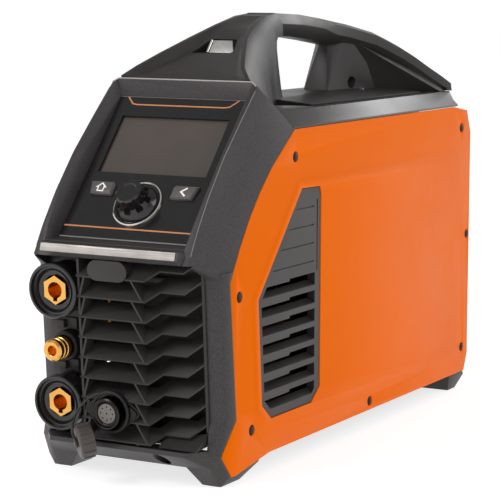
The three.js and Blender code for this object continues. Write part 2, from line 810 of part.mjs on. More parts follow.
function socketFlange(z) {
  const wall = -SOCKET_WALL_DEPTH + GAP;
  return turned(
    [
      [12.2, wall],
      [SOCKET_R - 1.5, wall],
      [SOCKET_R - 1.5, -8],
      [SOCKET_R, -6.5],
      [SOCKET_R, 0.2],
      [SOCKET_R - 0.8, 1],
      [SOCKET_R - 2.4, 1],
      [SOCKET_R - 3, -1.8],
      [SOCKET_R - 4.6, -1.8],
      [SOCKET_R - 5.4, -0.6],
      [SOCKET_R - 6.8, -4],
      [12.2, -5],
      [12.2, wall],
    ],
    SOCKET_X,
    z,
    32,
  );
}

// The brass socket: a hexagonal head, a round body through the wall and a keyed bore.
function socketContact(z) {
  const back = SOCKET_WALL_DEPTH + 15;
  const head = alongY(circle(SOCKET_X, z, 11.8, 6, Math.PI / 2), 3.2, 13);
  const body = alongY(circle(SOCKET_X, z, 9, 28), 12, back);
  const bore = alongY(circle(SOCKET_X, z, SOCKET_BORE, 24), 2, back - 12);
  const key = box(SOCKET_X - 2, SOCKET_X + 2, 2, back - 12, z - SOCKET_BORE - 2.4, z);
  return union([head, body]).subtract(union([bore, key]));
}

function gasOutlet() {
  const groove = (at) => [
    [OUTLET_R, at],
    [OUTLET_R - 0.9, at - 0.5],
    [OUTLET_R - 0.9, at - 1.3],
    [OUTLET_R, at - 1.8],
  ];
  return turned(
    [
      [0, -8],
      [OUTLET_BORE, -8],
      [OUTLET_BORE, 4.6],
      [OUTLET_BORE + 1, 5.2],
      [OUTLET_R - 1.6, 5.2],
      [OUTLET_R, 3.6],
      ...groove(0.2),
      ...groove(-4.4),
      [OUTLET_R, -10],
      [OUTLET_R - 1, -11],
      [OUTLET_R - 1, -40],
      [0, -40],
    ],
    SOCKET_X,
    -OUTLET_DROP,
    24,
  );
}

function gasOutletCollar() {
  const wall = -SOCKET_WALL_DEPTH + GAP;
  const inner = OUTLET_R + FIT;
  return turned(
    [
      [inner, wall],
      [12.2, wall],
      [12.2, -13],
      [11.4, -12.2],
      [inner, -12.8],
      [inner, wall],
    ],
    SOCKET_X,
    -OUTLET_DROP,
    24,
  );
}

function remoteGasket() {
  return rhombicPlate(0, 0.5, 2).subtract(turnedHole(10 + FIT, REMOTE_X, -REMOTE_DROP, 5));
}

// The remote socket's metal shell: flange, threaded barrel and the tube behind it.
function remoteShell() {
  const thread = [-6.4, -4.6, -2.8].flatMap((at) => [
    [REMOTE_R - 0.6, -at],
    [REMOTE_R, -at + 0.5],
  ]);
  const barrel = turned(
    [
      [8.4, -16],
      [10, -16],
      [10, -0.2],
      [REMOTE_R + 1.8, -0.2],
      [REMOTE_R + 1.8, 2],
      [REMOTE_R - 0.6, 2],
      ...thread.reverse(),
      [REMOTE_R - 0.6, 8.6],
      [REMOTE_R - 1.6, 9.4],
      [REMOTE_R - 3, 9.4],
      [8.4, 8.4],
      [8.4, -16],
    ],
    REMOTE_X,
    -REMOTE_DROP,
    28,
  );
  const hole = turnedHole(9, REMOTE_X, -REMOTE_DROP, 4);
  return rhombicPlate(-1.6, -1.2, 0.2).subtract(hole).add(barrel);
}

const CONTACTS = 9;

// The insulator with its ring of contact holes and the dead middle one.
function remoteInsert() {
  const face = 7.6;
  const body = turned(
    [
      [0, -15],
      [8.1, -15],
      [8.1, face],
      [0, face],
    ],
    REMOTE_X,
    -REMOTE_DROP,
    28,
  );
  const ringHoles = circle(REMOTE_X, -REMOTE_DROP, 5.4, CONTACTS - 1);
  const holes = [...ringHoles, [REMOTE_X, -REMOTE_DROP]].map(([x, z]) =>
    alongY(circle(x, z, 0.75, 8), -face - 1, -face + 3),
  );
  return body.subtract(union(holes));
}

// ---------------------------------------------------------------- dust cap and its tether

const CAP = new THREE.Vector3(REMOTE_X - 14, -19, -REMOTE_DROP - 20.5);
const CAP_TURN = THREE.MathUtils.degToRad(-43); // the closed end looks to the front left
const CAP_TILT = THREE.MathUtils.degToRad(8);

// A ribbed cup that hangs on its strap, closed end towards -Y before it is turned.
function dustCap() {
  const cup = turned(
    [
      [0, CAP_DEPTH / 2],
      [CAP_R - 1.5, CAP_DEPTH / 2],
      [CAP_R, CAP_DEPTH / 2 - 1.2],
      [CAP_R, -CAP_DEPTH / 2],
      [CAP_R - 2, -CAP_DEPTH / 2],
      [CAP_R - 2, CAP_DEPTH / 2 - 2.4],
      [0, CAP_DEPTH / 2 - 2.4],
    ],
    0,
    0,
    36,
  );
  const ribs = circle(0, 0, CAP_R - 0.4, 12).map(([x, z], i) => {
    const rib = box(-1.3, 1.3, -CAP_DEPTH / 2 + 1.6, CAP_DEPTH / 2 - 1, -1, 1.2);
    return rib.rotate([0, -(i * 360) / 12 + 90, 0]).translate([x, 0, z]);
  });
  const stud = alongY(circle(0, 0, 2.2, 12), -CAP_DEPTH / 2 - 2.4, -CAP_DEPTH / 2 + 1);
  return union([cup, ...ribs, stud])
    .rotate([THREE.MathUtils.radToDeg(CAP_TILT), 0, THREE.MathUtils.radToDeg(CAP_TURN)])
    .translate(CAP.toArray());
}

// The strap: a flat ring round the remote socket's neck, a loop down to the cap and an eye
// round the cap's stud.
function capTether() {
  const neck = REMOTE_R + 2.2;
  const ring = turned(
    [
      [neck, 1.5],
      [neck + 2, 1.5],
      [neck + 2, 3],
      [neck, 3],
      [neck, 1.5],
    ],
    REMOTE_X,
    -REMOTE_DROP,
    32,
  );
  const turn = new THREE.Matrix4().makeRotationFromEuler(
    new THREE.Euler(CAP_TILT, 0, CAP_TURN, "ZYX"),
  );
  const stud = new THREE.Vector3(0, -CAP_DEPTH / 2 - 1.2, 0).applyMatrix4(turn).add(CAP);
  const out = new THREE.Vector3(0, -1, 0).applyMatrix4(turn);
  const eye = new THREE.ExtrudeGeometry(ringShape(4.2, 2.6), { depth: 1, bevelEnabled: false });
  eye.translate(0, 0, -0.5).rotateX(Math.PI / 2);
  const eyeBody = solid(eye.applyMatrix4(turn).translate(...stud.toArray()));
  const up = new THREE.Vector3(0, 0, 1).applyMatrix4(turn);
  const route = [
    [REMOTE_X - 9.5, -2.3, -REMOTE_DROP + neck - 1.2],
    [REMOTE_X - 15, -4, -REMOTE_DROP + 11.5],
    [REMOTE_X - 20, -8, -REMOTE_DROP + 7.5],
    [REMOTE_X - 24.5, -14, -REMOTE_DROP - 1],
    stud.clone().addScaledVector(up, 9).addScaledVector(out, 1.2).toArray(),
    stud.clone().addScaledVector(up, 3.4).toArray(),
  ];
  const path = new THREE.CatmullRomCurve3(route.map((p) => new THREE.Vector3(...p)));
  const section = new THREE.Shape(circle(0, 0, 1.1, 6).map((p) => new THREE.Vector2(...p)));
  const strap = new THREE.ExtrudeGeometry(section, { steps: 18, extrudePath: path });
  return union([ring, solid(strap), eyeBody]);
}

function ringShape(outer, inner) {
  const shape = new THREE.Shape(circle(0, 0, outer, 20).map((p) => new THREE.Vector2(...p)));
  shape.holes.push(new THREE.Path(circle(0, 0, inner, 20).map((p) => new THREE.Vector2(...p))));
  return shape;
}

// ---------------------------------------------------------------- top cover and handle

const COVER_END = BEND_Y - 30; // the cover's flat deck ends here
const BAND = 12; // width of the chamfered band along the deck

function topCover() {
  const outer = [
    [-HALF + 0.6, PANEL_TOP + FIT],
    [HALF - 0.6, PANEL_TOP + FIT],
    [HALF - 0.6, PANEL_TOP + 2],
    [HALF - 1 - BAND, DECK_Z],
    [-HALF + 1 + BAND, DECK_Z],
    [-HALF + 0.6, PANEL_TOP + 2],
  ];
  const inner = [
    [-HALF + 0.6 + SHELL, PANEL_TOP - 9],
    [HALF - 0.6 - SHELL, PANEL_TOP - 9],
    [HALF - 0.6 - SHELL, PANEL_TOP + 1],
    [HALF - BAND - SHELL, DECK_Z - SHELL],
    [-HALF + BAND + SHELL, DECK_Z - SHELL],
    [-HALF + 0.6 + SHELL, PANEL_TOP + 1],
  ];
  const shell = alongY(outer, 70, BEND_Y - 11);
  const tail = hull([
    ...pair(HALF - 14, COVER_END + 10, DECK_Z),
    ...pair(HALF - 2, COVER_END, PANEL_TOP + FIT),
    ...pair(HALF - 14, COVER_END, DECK_Z),
    ...pair(HALF - 16, BEND_Y - 12, PANEL_TOP + FIT),
    ...pair(HALF - 20, BEND_Y - 14, PANEL_TOP + 6),
  ]);
  const body = alongY(outer, 70, COVER_END).add(tail);
  const room = alongY(inner, 60, COVER_END + 2);
  const screwRib = box(-INNER_X + 1, INNER_X - 1, 118, 121, PANEL_TOP - 2, DECK_Z - 1);
  const front = behindHood(FIT / 2);
  return body
    .subtract(room)
    .add(screwRib.intersect(shell))
    .intersect(front);
}

const HANDLE_TOP = DECK_Z + HANDLE_RISE;
const LOOP_FRONT = 193; // front of the hand opening, under the grip
const LOOP_END = 296; // its rear, where the rear pillar's prow starts
const GRIP_HALF = 19;
const GRIP_DEPTH = 20;
const HANDLE_BASE = DECK_Z + GAP;
const TAIL = COVER_END + 12; // the handle's rear end
const FLOOR_RISE = 5.5; // crown of the floor that joins the two pillars

// A height given as a share of the handle's rise, and a place behind the grip as a share of
// the way to the handle's end.
const atRise = (share) => DECK_Z + HANDLE_RISE * share;
const behindLoop = (share) => LOOP_END + (TAIL - LOOP_END) * share;

// Cross-sections of the handle's front pillar: place, height, half width of the flat top,
// half width of the shoulder under it, half width at the deck, depth of the dished middle.
const PILLAR = [
  { y: 76.5, z: atRise(0.347), top: HALF - 26, shoulder: HALF - 21, foot: HALF - 11, dish: 1.6 },
  { y: 86, z: atRise(0.455), top: HALF - 35.7, shoulder: HALF - 29, foot: HALF - 15, dish: 6.1 },
  { y: 105, z: atRise(0.585), top: HALF - 46, shoulder: HALF - 38, foot: HALF - 21, dish: 7.9 },
  { y: 132, z: atRise(0.747), top: 28, shoulder: 36, foot: 53, dish: 7.4 },
  { y: 160, z: atRise(0.877), top: 19.8, shoulder: 28, foot: 37, dish: 1.8 },
  { y: 187, z: atRise(0.968), top: 15.8, shoulder: 22.5, foot: 26, dish: 0.4 },
  { y: 210, z: HANDLE_TOP, top: 12, shoulder: GRIP_HALF, foot: 22, dish: 0 },
];

// The spine behind the front pillar: place, height and half width of its top.
const SPINE = [
  { y: 203, z: HANDLE_TOP, top: 12 },
  { y: 250, z: atRise(0.974), top: 13 },
  { y: behindLoop(-0.046), z: atRise(0.922), top: 13.5 },
  { y: behindLoop(0.106), z: atRise(0.883), top: 14 },
  { y: behindLoop(0.277), z: atRise(0.838), top: HALF * 0.184 },
  { y: behindLoop(0.409), z: atRise(0.779), top: HALF * 0.25 },
  { y: behindLoop(0.488), z: atRise(0.74), top: HALF * 0.305 },
  { y: behindLoop(0.581), z: atRise(0.662), top: HALF * 0.375 },
  { y: behindLoop(0.673), z: atRise(0.571), top: HALF * 0.455 },
  { y: behindLoop(0.766), z: atRise(0.462), top: HALF * 0.545 },
  { y: behindLoop(0.851), z: atRise(0.338), top: HALF * 0.64 },
  { y: behindLoop(0.931), z: atRise(0.227), top: HALF * 0.73 },
  { y: TAIL, z: atRise(0.134), top: HALF * 0.79 },
];

// Outline of the hand opening in the side view: it narrows towards the deck at the front and
// its upper corners are rounded.
const LOOP = [
  [LOOP_FRONT + 12, DECK_Z],
  [LOOP_FRONT + 7, atRise(0.16)],
  [LOOP_FRONT + 3, atRise(0.37)],
  [LOOP_FRONT, atRise(0.6)],
  [LOOP_FRONT + 0.8, atRise(0.69)],
  [LOOP_FRONT + 4, atRise(0.73)],
  [LOOP_FRONT + 10, atRise(0.742)],
  [LOOP_FRONT + 47, atRise(0.728)],
  [LOOP_END - 18, atRise(0.664)],
  [LOOP_END - 9, atRise(0.59)],
  [LOOP_END - 3, atRise(0.47)],
  [LOOP_END, atRise(0.3)],
  [LOOP_END, DECK_Z],
];

function handle() {
  const pillar = loft(
    PILLAR.map(({ y, z, top, shoulder, foot }) => [
      ...pair(top, y, z),
      ...pair(shoulder, y, z - 9),
      ...pair(foot, y, HANDLE_BASE),
    ]),
  );
  const dish = loft(
    PILLAR.slice(0, -1).map(({ y, z, top, dish: depth }) => [
      ...pair(top - 2.5, y, z + 4),
      ...pair(top - 4, y, z),
      ...pair(top - 8, y, z - depth),
    ]),
  );
  const grip = (y, z, top) => [
    ...pair(top, y, z),
    ...pair(GRIP_HALF, y, z - 9),
    ...pair(10, y, z - GRIP_DEPTH),
  ];
  const roofAt = ({ y, z, top }) => [
    ...pair(top, y, z),
    ...pair(top + 5, y, z - 3),
    ...pair(top + 6, y, Math.max(z - 12, HANDLE_BASE)),
    ...pair(Math.max(top - 9, 9), y, Math.max(z - GRIP_DEPTH, HANDLE_BASE)),
  ];
  const [first, second, third] = SPINE;
  const spine = union([
    loft([first, second, third].map(({ y, z, top }) => grip(y, z, top))),
    loft([grip(third.y, third.z, third.top), roofAt(SPINE[3])]),
    loft(SPINE.slice(3).map(roofAt)),
  ]);
  const core = loft([
    [...pair(12.5, LOOP_END + 10, HANDLE_BASE), ...pair(3.9, LOOP_END + 28, atRise(0.62))],
    [...pair(16, LOOP_END + 40, HANDLE_BASE), ...pair(13, LOOP_END + 40, atRise(0.66))],
    [
      ...pair(HALF * 0.27, behindLoop(0.61), HANDLE_BASE),
      ...pair(HALF * 0.27, behindLoop(0.475), atRise(0.38)),
      ...pair(HALF * 0.2, behindLoop(0.33), atRise(0.65)),
    ],
    [...pair(HALF - 16, TAIL - 19, HANDLE_BASE), ...pair(HALF - 27, TAIL - 16, atRise(0.15))],
    [...pair(HALF - 18, TAIL, HANDLE_BASE), ...pair(HALF - 22, TAIL, atRise(0.08))],
  ]);
  const crown = hull([
    ...pair(HALF - 25, LOOP_FRONT - 11, HANDLE_BASE),
    ...pair(HALF - 25, LOOP_FRONT - 11, HANDLE_BASE + 1),
    ...pair(14, LOOP_FRONT - 11, DECK_Z + FLOOR_RISE),
    ...pair(HALF - 25, TAIL - 45, HANDLE_BASE),
    ...pair(HALF - 25, TAIL - 45, HANDLE_BASE + 1),
    ...pair(14, TAIL - 45, DECK_Z + FLOOR_RISE),
  ]);
  const opening = alongX(LOOP, -HALF, HALF);
  const solidPart = union([pillar.subtract(dish), spine, core]).subtract(opening).add(crown);
  const front = behindHood(FIT / 2 + GAP);
  const aboveDeck = box(-HALF, HALF, 0, REAR_Y, HANDLE_BASE, HANDLE_TOP + 10);
  return solidPart
    .subtract(union([pillarHollows(), strapSlot(), strapHole()]))
    .intersect(front)
    .intersect(aboveDeck);
}

// Both pillars are hollow from below, short of the strap slot and the strap hole.
function pillarHollows() {
  const roof = DECK_Z + 32;
  const front = loft(
    PILLAR.slice(1, -1).map(({ y, z, shoulder, foot, dish }) => [
      ...pair(shoulder - 6, y, Math.min(z - dish - 5, roof)),
      ...pair(foot - 6, y, HANDLE_BASE - 1),
    ]),
  );
  const rear = loft([
    [...pair(10, LOOP_END + 62, roof - 4), ...pair(12, LOOP_END + 62, HANDLE_BASE - 1)],
    [...pair(15, behindLoop(0.5), roof - 8), ...pair(16, behindLoop(0.55), HANDLE_BASE - 1)],
    [...pair(HALF - 42, TAIL - 24, DECK_Z + 10), ...pair(HALF - 40, TAIL - 24, HANDLE_BASE - 1)],
  ]);
  return front.intersect(box(-HALF, HALF, 0, LOOP_FRONT - 9, 0, HANDLE_TOP)).add(rear);
}

// The strap slot through the sloped front pillar, a trapezoid that opens into the hand loop.
function strapSlot() {
  const [low, high] = [atRise(0.58), atRise(0.725)];
  return alongY(
    [
      [-19.7, low],
      [17, low],
      [18.6, low + 2],
      [12.6, high],
      [-12.6, high],
    ],
    60,
    LOOP_FRONT + 20,
  );
}

// The strap hole through the rear pillar.
function strapHole() {
  return alongX(circle(LOOP_END + 50, atRise(0.145), 5.6, 16), -60, 60);
}

// ---------------------------------------------------------------- side panels and vents

function sidePanel() {
  const plan = [
    [INNER_X - TOE_IN, TOE[0]],
    [HALF - TOE_IN, TOE[0]],
    [HALF, TUCK_Y],
    [HALF, BEND_Y],
    [HALF - (REAR_Y - BEND_Y), REAR_Y],
    [HALF - (REAR_Y - BEND_Y) - 1.1, REAR_Y - 1.1],
    [INNER_X, BEND_Y - 0.6],
    [INNER_X, TUCK_Y + 0.2],
  ];
  const outline = alongX(PANEL_OUTLINE, HALF - 30, HALF + 1);
  const sheet = alongZ(plan, 0, PANEL_TOP + 5).intersect(outline);
  const raised = (outlinePoints, x0, x1) =>
    hull([
      ...grown(outlinePoints, 2).map(([y, z]) => [x0, y, z]),
      ...outlinePoints.map(([y, z]) => [x1, y, z]),
    ]);
  const field = raised(EMBOSS_OUTLINE, HALF, HALF + EMBOSS);
  const pocket = raised(grown(EMBOSS_OUTLINE, -1), INNER_X - 0.01, INNER_X + EMBOSS);
  const vent = alongX(grown(VENT_OUTLINE, FIT), INNER_X - 2, HALF + 5);
  const holes = PANEL_SCREWS.map(([y, z]) =>
    alongX(circle(y, z, SCREW_HOLE_R, 12), INNER_X - 1, HALF + 1),
  );
  return sheet.add(field).subtract(union([pocket, vent, ...holes]));
}

const VENT_DEPTH = 7;
const VENT_FACE = HALF + EMBOSS - 0.6;
const VENT_PITCH = 15.2;
const VENT_SLOTS = 7;
const VENT_FIRST = 51; // lowest slot's bottom edge

// The louvred insert in a side panel: open slots below, shallow grooves above.
function sideVent() {
  const plate = alongX(grown(VENT_OUTLINE, -GAP), VENT_FACE - VENT_DEPTH, VENT_FACE);
  const [front, middle, rear] = [48, 97, 140];
  const slant = 4.6; // the slots rise towards the inside
  const opening = (y0, y1, z0, z1) =>
    hull([
      ...[y0, y1].flatMap((y) => [z0, z1].map((z) => [VENT_FACE + 1, y, z])),
      ...[y0, y1].flatMap((y) => [z0, z1].map((z) => [VENT_FACE - VENT_DEPTH - 1, y, z + slant])),
    ]);
  const slots = Array.from({ length: VENT_SLOTS }, (_, i) => {
    const z = VENT_FIRST + i * VENT_PITCH;
    return opening(front, middle, z, z + 8.5).add(opening(middle - 1, rear, z, z + 10.5));
  });
  const closedFrom = VENT_FIRST + VENT_SLOTS * VENT_PITCH;
  const grooves = [0, 1, 2, 3].map((i) => {
    const z = closedFrom + 5 + i * VENT_PITCH;
    const start = 57 + (z - 150) * 0.75;
    return box(VENT_FACE - 1, VENT_FACE + 1, start, rear - 2, z, z + 1);
  });
  const slit = box(VENT_FACE - 3, VENT_FACE + 1, 143, 145, closedFrom - 3, PANEL_TOP - 60);
  const margin = alongX(grown(VENT_OUTLINE, -5), VENT_FACE - 30, VENT_FACE + 30);
  return plate.subtract(union([...slots, ...grooves, slit]).intersect(margin));
}

// A button-head screw in a panel hole, its threads in the moulding behind.
function panelScrew([y, z], side) {
  const head = SCREW_R;
  const geometry = new THREE.LatheGeometry(
    [
      [0, INNER_X - 8],
      [1.4, INNER_X - 8],
      [1.4, INNER_X + GAP],
      [head, INNER_X + GAP],
      [head, INNER_X + 1.2],
      [head * 0.6, INNER_X + 2.3],
      [0, INNER_X + 2.3],
    ].map((p) => new THREE.Vector2(...p)),
    10,
  );
  const screw = solid(geometry.rotateZ(-Math.PI / 2).translate(0, y, z));
  return side < 0 ? mirrored(screw) : screw;
}

// Clearance holes for the screws' shanks, cut from what lies behind the panels.
function screwHoles() {
  const holes = PANEL_SCREWS.map(([y, z]) =>
    alongX(circle(y, z, 1.4 + GAP, 12), INNER_X - 10, INNER_X + 1),
  );
  const right = union(holes);
  return right.add(mirrored(right));
}

// ---------------------------------------------------------------- base tray and rear

const TRAY_Z = PANEL_BOTTOM + 1;
const TRAY_FRONT = 54;
const REAR_PLATE = REAR_Y - 12; // outer face of the rear moulding
const TRAY_END = REAR_PLATE - 6;

function baseTray() {
  const x = INNER_X - GAP;
  const floor = box(-x, x, TRAY_FRONT, TRAY_END, TRAY_Z, TRAY_Z + 2);
  const flange = box(x - 2, x, TRAY_FRONT, TRAY_END, TRAY_Z, TRAY_Z + 16);
  const slots = [-1, 0, 1].map((i) =>
    box(i * 30 - 9, i * 30 + 9, 150, 156, TRAY_Z - 1, TRAY_Z + 3),
  );
  return union([floor, flange, mirrored(flange)]).subtract(union(slots));
}

const FAN_Z = 150;
const FAN_BACK = REAR_PLATE - SHELL - 1;

// The rear moulding: a plate with the fan guard, a rim under the side panels and two feet.
function rearBezel() {
  const x = INNER_X - GAP;
  const [bottom, top] = [PANEL_BOTTOM + 1, PANEL_TOP - 8];
  const cut = 7;
  const outline = [
    [-x, bottom],
    [x, bottom],
    [x, top - 26],
    [x - 12, top],
    [-x + 12, top],
    [-x, top - 26],
  ];
  const plate = alongY(outline, REAR_PLATE - SHELL, REAR_PLATE);
  const rim = alongY(outline, BEND_Y - 26, REAR_PLATE - 1).subtract(
    alongY(grown(outline, -SHELL), BEND_Y - 40, REAR_PLATE - SHELL),
  );
  const foot = hull([
    [HALF - 2, COVER_END - 8, PANEL_BOTTOM - 1],
    [HALF - 34, COVER_END - 8, PANEL_BOTTOM - 1],
    [HALF - 4, REAR_Y - 9, PANEL_BOTTOM + 1],
    [HALF - 34, REAR_Y - 9, PANEL_BOTTOM + 1],
    [HALF - 3, REAR_Y - 8, PANEL_BOTTOM - 5],
    [HALF - 34, REAR_Y - 8, PANEL_BOTTOM - 5],
    [HALF - 5, COVER_END - 4, 0],
    [HALF - 32, COVER_END - 4, 0],
    [HALF - 5, REAR_Y - 24, 0],
    [HALF - 32, REAR_Y - 24, 0],
  ]);
  const bosses = PANEL_SCREWS.slice(REAR_SCREWS).map(([y, z]) =>
    box(x - 9, x, Math.min(y - 4, REAR_PLATE - 8), REAR_PLATE - 1, z - 4, z + 4),
  );
  const heel = box(HALF - 33, HALF - 4, BEND_Y - 60, REAR_PLATE - 1, PANEL_BOTTOM - 1, bottom + 2);
  const parts = [foot, heel, ...bosses];
  const whole = union([plate, rim, ...parts, ...parts.map(mirrored)]);
  const slots = Array.from({ length: GUARD_SLOTS }, (_, i) => {
    const z = FAN_Z + (i - (GUARD_SLOTS - 1) / 2) * 15;
    return box(-70, 70, REAR_PLATE - 20, REAR_PLATE + 5, z - 4, z + 4);
  });
  const opening = alongY(circle(0, FAN_Z, FAN_SIZE / 2 - 4, 28), REAR_PLATE - 10, REAR_PLATE + 2);
  const hub = alongY(circle(0, FAN_Z, 17, 24), REAR_PLATE - 12, REAR_PLATE + 4);
  const guard = union(slots).intersect(opening).subtract(hub);
  const trayRoom = box(-x - 1, x + 1, 0, TRAY_END + FIT, bottom - 0.5, TRAY_Z + 2 + FIT);
  const trayFlanges = box(x - 2 - FIT, x + 1, 0, TRAY_END + FIT, bottom - 1, TRAY_Z + 16 + FIT);
  const switchHole = box(
    SWITCH_X - SWITCH_W / 2, SWITCH_X + SWITCH_W / 2,
    REAR_PLATE - 20, REAR_PLATE + 5,
    SWITCH_Z - SWITCH_H / 2, SWITCH_Z + SWITCH_H / 2,
  );
  const bores = [
    alongY(circle(GLAND_X, SERVICE_Z, GLAND_R + FIT, 24), REAR_PLATE - 9, REAR_PLATE + 5),
    alongY(circle(INLET_X, SERVICE_Z, INLET_R + FIT, 24), REAR_PLATE - 9, REAR_PLATE + 5),
  ];
  return whole.subtract(
    union([guard, trayRoom, trayFlanges, mirrored(trayFlanges), switchHole, ...bores]),
  );
}

const SWITCH_X = 50;
const SWITCH_Z = 240;
const SERVICE_Z = 58;
const GLAND_X = 45;
const GLAND_R = 10;
const INLET_X = -45;
const INLET_R = 7;

function switchBody() {
  const [w, h] = [SWITCH_W / 2 - GAP, SWITCH_H / 2 - GAP];
  const plug = box(SWITCH_X - w, SWITCH_X + w, REAR_PLATE - 24, REAR_PLATE + 1, SWITCH_Z - h, SWITCH_Z + h);
  const rim = box(
    SWITCH_X - w - 2.5, SWITCH_X + w + 2.5,
    REAR_PLATE + GAP, REAR_PLATE + 2.3,
    SWITCH_Z - h - 2.5, SWITCH_Z + h + 2.5,
  );
  const well = box(
    SWITCH_X - w + 2, SWITCH_X + w - 2,
    REAR_PLATE - 12, REAR_PLATE + 5,
    SWITCH_Z - h + 2, SWITCH_Z + h - 2,
  );
  return union([plug, rim]).subtract(well);
}

// The rocker, tilted to its off side: it turns about an X axis at the face of the rear plate.
function powerRocker() {
  const half = SWITCH_W / 2 - GAP - 2 - FIT;
  const reach = SWITCH_H / 2 - GAP - 3.4;
  const profile = [
    [3.6, -reach],
    [2.2, 0],
    [3.6, reach],
    [-2, reach],
    [-7, 3],
    [-7, -3],
    [-2, -reach],
  ];
  return alongX(profile, SWITCH_X - half, SWITCH_X + half)
    .rotate([-THREE.MathUtils.radToDeg(ROCKER_ANGLE), 0, 0])
    .translate([0, REAR_PLATE, SWITCH_Z]);
}

// A cable gland without its cable: nut, body and the clamping dome.
function cableGland() {
  return turned(
    [
      [5.5, -REAR_PLATE - 20],
      [9, -REAR_PLATE - 20],
      [13.5, -REAR_PLATE - 18],
      [13.5, -REAR_PLATE - GAP],
      [GLAND_R, -REAR_PLATE - GAP],
      [GLAND_R, -REAR_PLATE + SHELL + GAP],
      [13, -REAR_PLATE + SHELL + GAP],
      [13, -REAR_PLATE + SHELL + 5],
      [5.5, -REAR_PLATE + SHELL + 5],
      [5.5, -REAR_PLATE - 20],
    ],
    GLAND_X,
    SERVICE_Z,
    20,
  );
}

// The gas inlet: a hose barb outside, a nut inside, open through its middle.
function gasInlet() {
  const at = -REAR_PLATE;
  return turned(
    [
      [2.2, at - 22],
      [3.2, at - 22],
      [4.4, at - 17],
      [3.6, at - 17],
      [3.6, at - 8],
      [11, at - 8],
      [11, at - GAP],
      [INLET_R, at - GAP],
      [INLET_R, at + SHELL + GAP],
      [10, at + SHELL + GAP],
      [10, at + SHELL + 6],
      [2.2, at + SHELL + 6],
      [2.2, at - 22],
    ],
    INLET_X,
    SERVICE_Z,
    18,
  );
}

// ---------------------------------------------------------------- fan

function fanFrame() {
  const half = FAN_SIZE / 2;
  const [front, back] = [FAN_BACK - FAN_DEPTH, FAN_BACK];
  const plates = box(-half, half, front, front + 4, FAN_Z - half, FAN_Z + half).add(
    box(-half, half, back - 4, back, FAN_Z - half, FAN_Z + half),
  );
  const tube = alongY(circle(0, FAN_Z, half - 1, 32), front, back);
  const bore = alongY(circle(0, FAN_Z, half - 3, 32), front - 1, back + 1);
  const strut = (angle) =>
    box(-half + 2, half - 2, front, front + 3, -2.5, 2.5)
      .rotate([0, angle, 0])
      .translate([0, 0, FAN_Z]);
  const motor = alongY(circle(0, FAN_Z, 18, 24), front, front + 5);
  return union([plates, tube]).subtract(bore).add(union([strut(45), strut(-45), motor]));
}

function fanRotor() {
  const front = FAN_BACK - FAN_DEPTH + 5 + 0.6;
  const hub = alongY(circle(0, FAN_Z, 19, 28), front, FAN_BACK - 2);
  const reach = FAN_SIZE / 2 - 5;
  const blades = Array.from({ length: FAN_BLADES }, (_, i) =>
    box(12, reach, -0.8, 0.8, -12, 12)
      .rotate([35, 0, 0])
      .translate([0, front + 8.6, 0])
      .rotate([0, (i * 360) / FAN_BLADES, 0])
      .translate([0, 0, FAN_Z]),
  );
  return union([hub, ...blades]);
}

// ---------------------------------------------------------------- power electronics

const SINK_Y = [120, 300];
const SINK_X = 52;
const SINK_Z = TRAY_Z + 8;
const SINK_HEIGHT = 48;
const SINK_FINS = 11;

function heatsink() {
  const pitch = (2 * SINK_X - 2.4) / (SINK_FINS - 1);
  const slab = box(-SINK_X, SINK_X, ...SINK_Y, SINK_Z + SINK_HEIGHT - 6, SINK_Z + SINK_HEIGHT);
  const fin = (i) => {
    const x = -SINK_X + i * pitch;
    return box(x, x + 2.4, ...SINK_Y, SINK_Z, SINK_Z + SINK_HEIGHT - 5);
  };
  const foot = (y) => box(-SINK_X, SINK_X, y, y + 6, TRAY_Z + 2 + GAP, SINK_Z + 4);
  const fins = Array.from({ length: SINK_FINS }, (_, i) => fin(i));
  return union([slab, ...fins, foot(SINK_Y[0]), foot(SINK_Y[1] - 6)]);
}

const BOARD_Z = SINK_Z + SINK_HEIGHT + 12;

function powerBoard() {
  const plate = box(-70, 70, 96, 330, BOARD_Z, BOARD_Z + 2);
  const transistors = [-36, -12, 12, 36].map((x) =>
    box(x - 8, x + 8, 130, 150, SINK_Z + SINK_HEIGHT + GAP, BOARD_Z + 0.5),
  );
  const diodes = [-30, 0, 30].map((x) =>
    box(x - 9, x + 9, 230, 252, SINK_Z + SINK_HEIGHT + GAP, BOARD_Z + 0.5),
  );
  const relay = box(46, 66, 290, 318, BOARD_Z + 1, BOARD_Z + 18);
  return union([plate, ...transistors, ...diodes, relay]);
}

const CORE = { x: -34, y: 185, w: 62, d: 44, h: 60 };
const CORE_Z = BOARD_Z + 2 + GAP;

// A closed ferrite core with two windows round its middle leg.
function transformerCore() {
  const { x, y, w, d, h } = CORE;
  const body = box(x - w / 2, x + w / 2, y - d / 2, y + d / 2, CORE_Z, CORE_Z + h);
  const window = (side) => {
    const middle = x + side * (w / 4 - 1);
    return box(middle - 9, middle + 9, y - d, y + d, CORE_Z + 9, CORE_Z + h - 9);
  };
  return body.subtract(union([window(-1), window(1)]));
}

function transformerWinding() {
  const { x, y, d, h } = CORE;
  const leg = 5.5 + GAP;
  const outer = box(x - 14, x + 14, y - d / 2 - 8, y + d / 2 + 8, CORE_Z + 10, CORE_Z + h - 10);
  const inner = box(x - leg, x + leg, y - d / 2 - GAP, y + d / 2 + GAP, CORE_Z, CORE_Z + h);
  return outer.subtract(inner);
}

function outputChoke() {
  const geometry = new THREE.LatheGeometry(
    circle(24, 0, 10, 8).concat([[34, 0]]).map((p) => new THREE.Vector2(...p)),
    20,
  );
  return solid(geometry.rotateX(Math.PI / 2).translate(32, 190, CORE_Z + 10.2));
}

const COIL = { x: 34, y: 82, z: 62, outer: 24, inner: 12 };

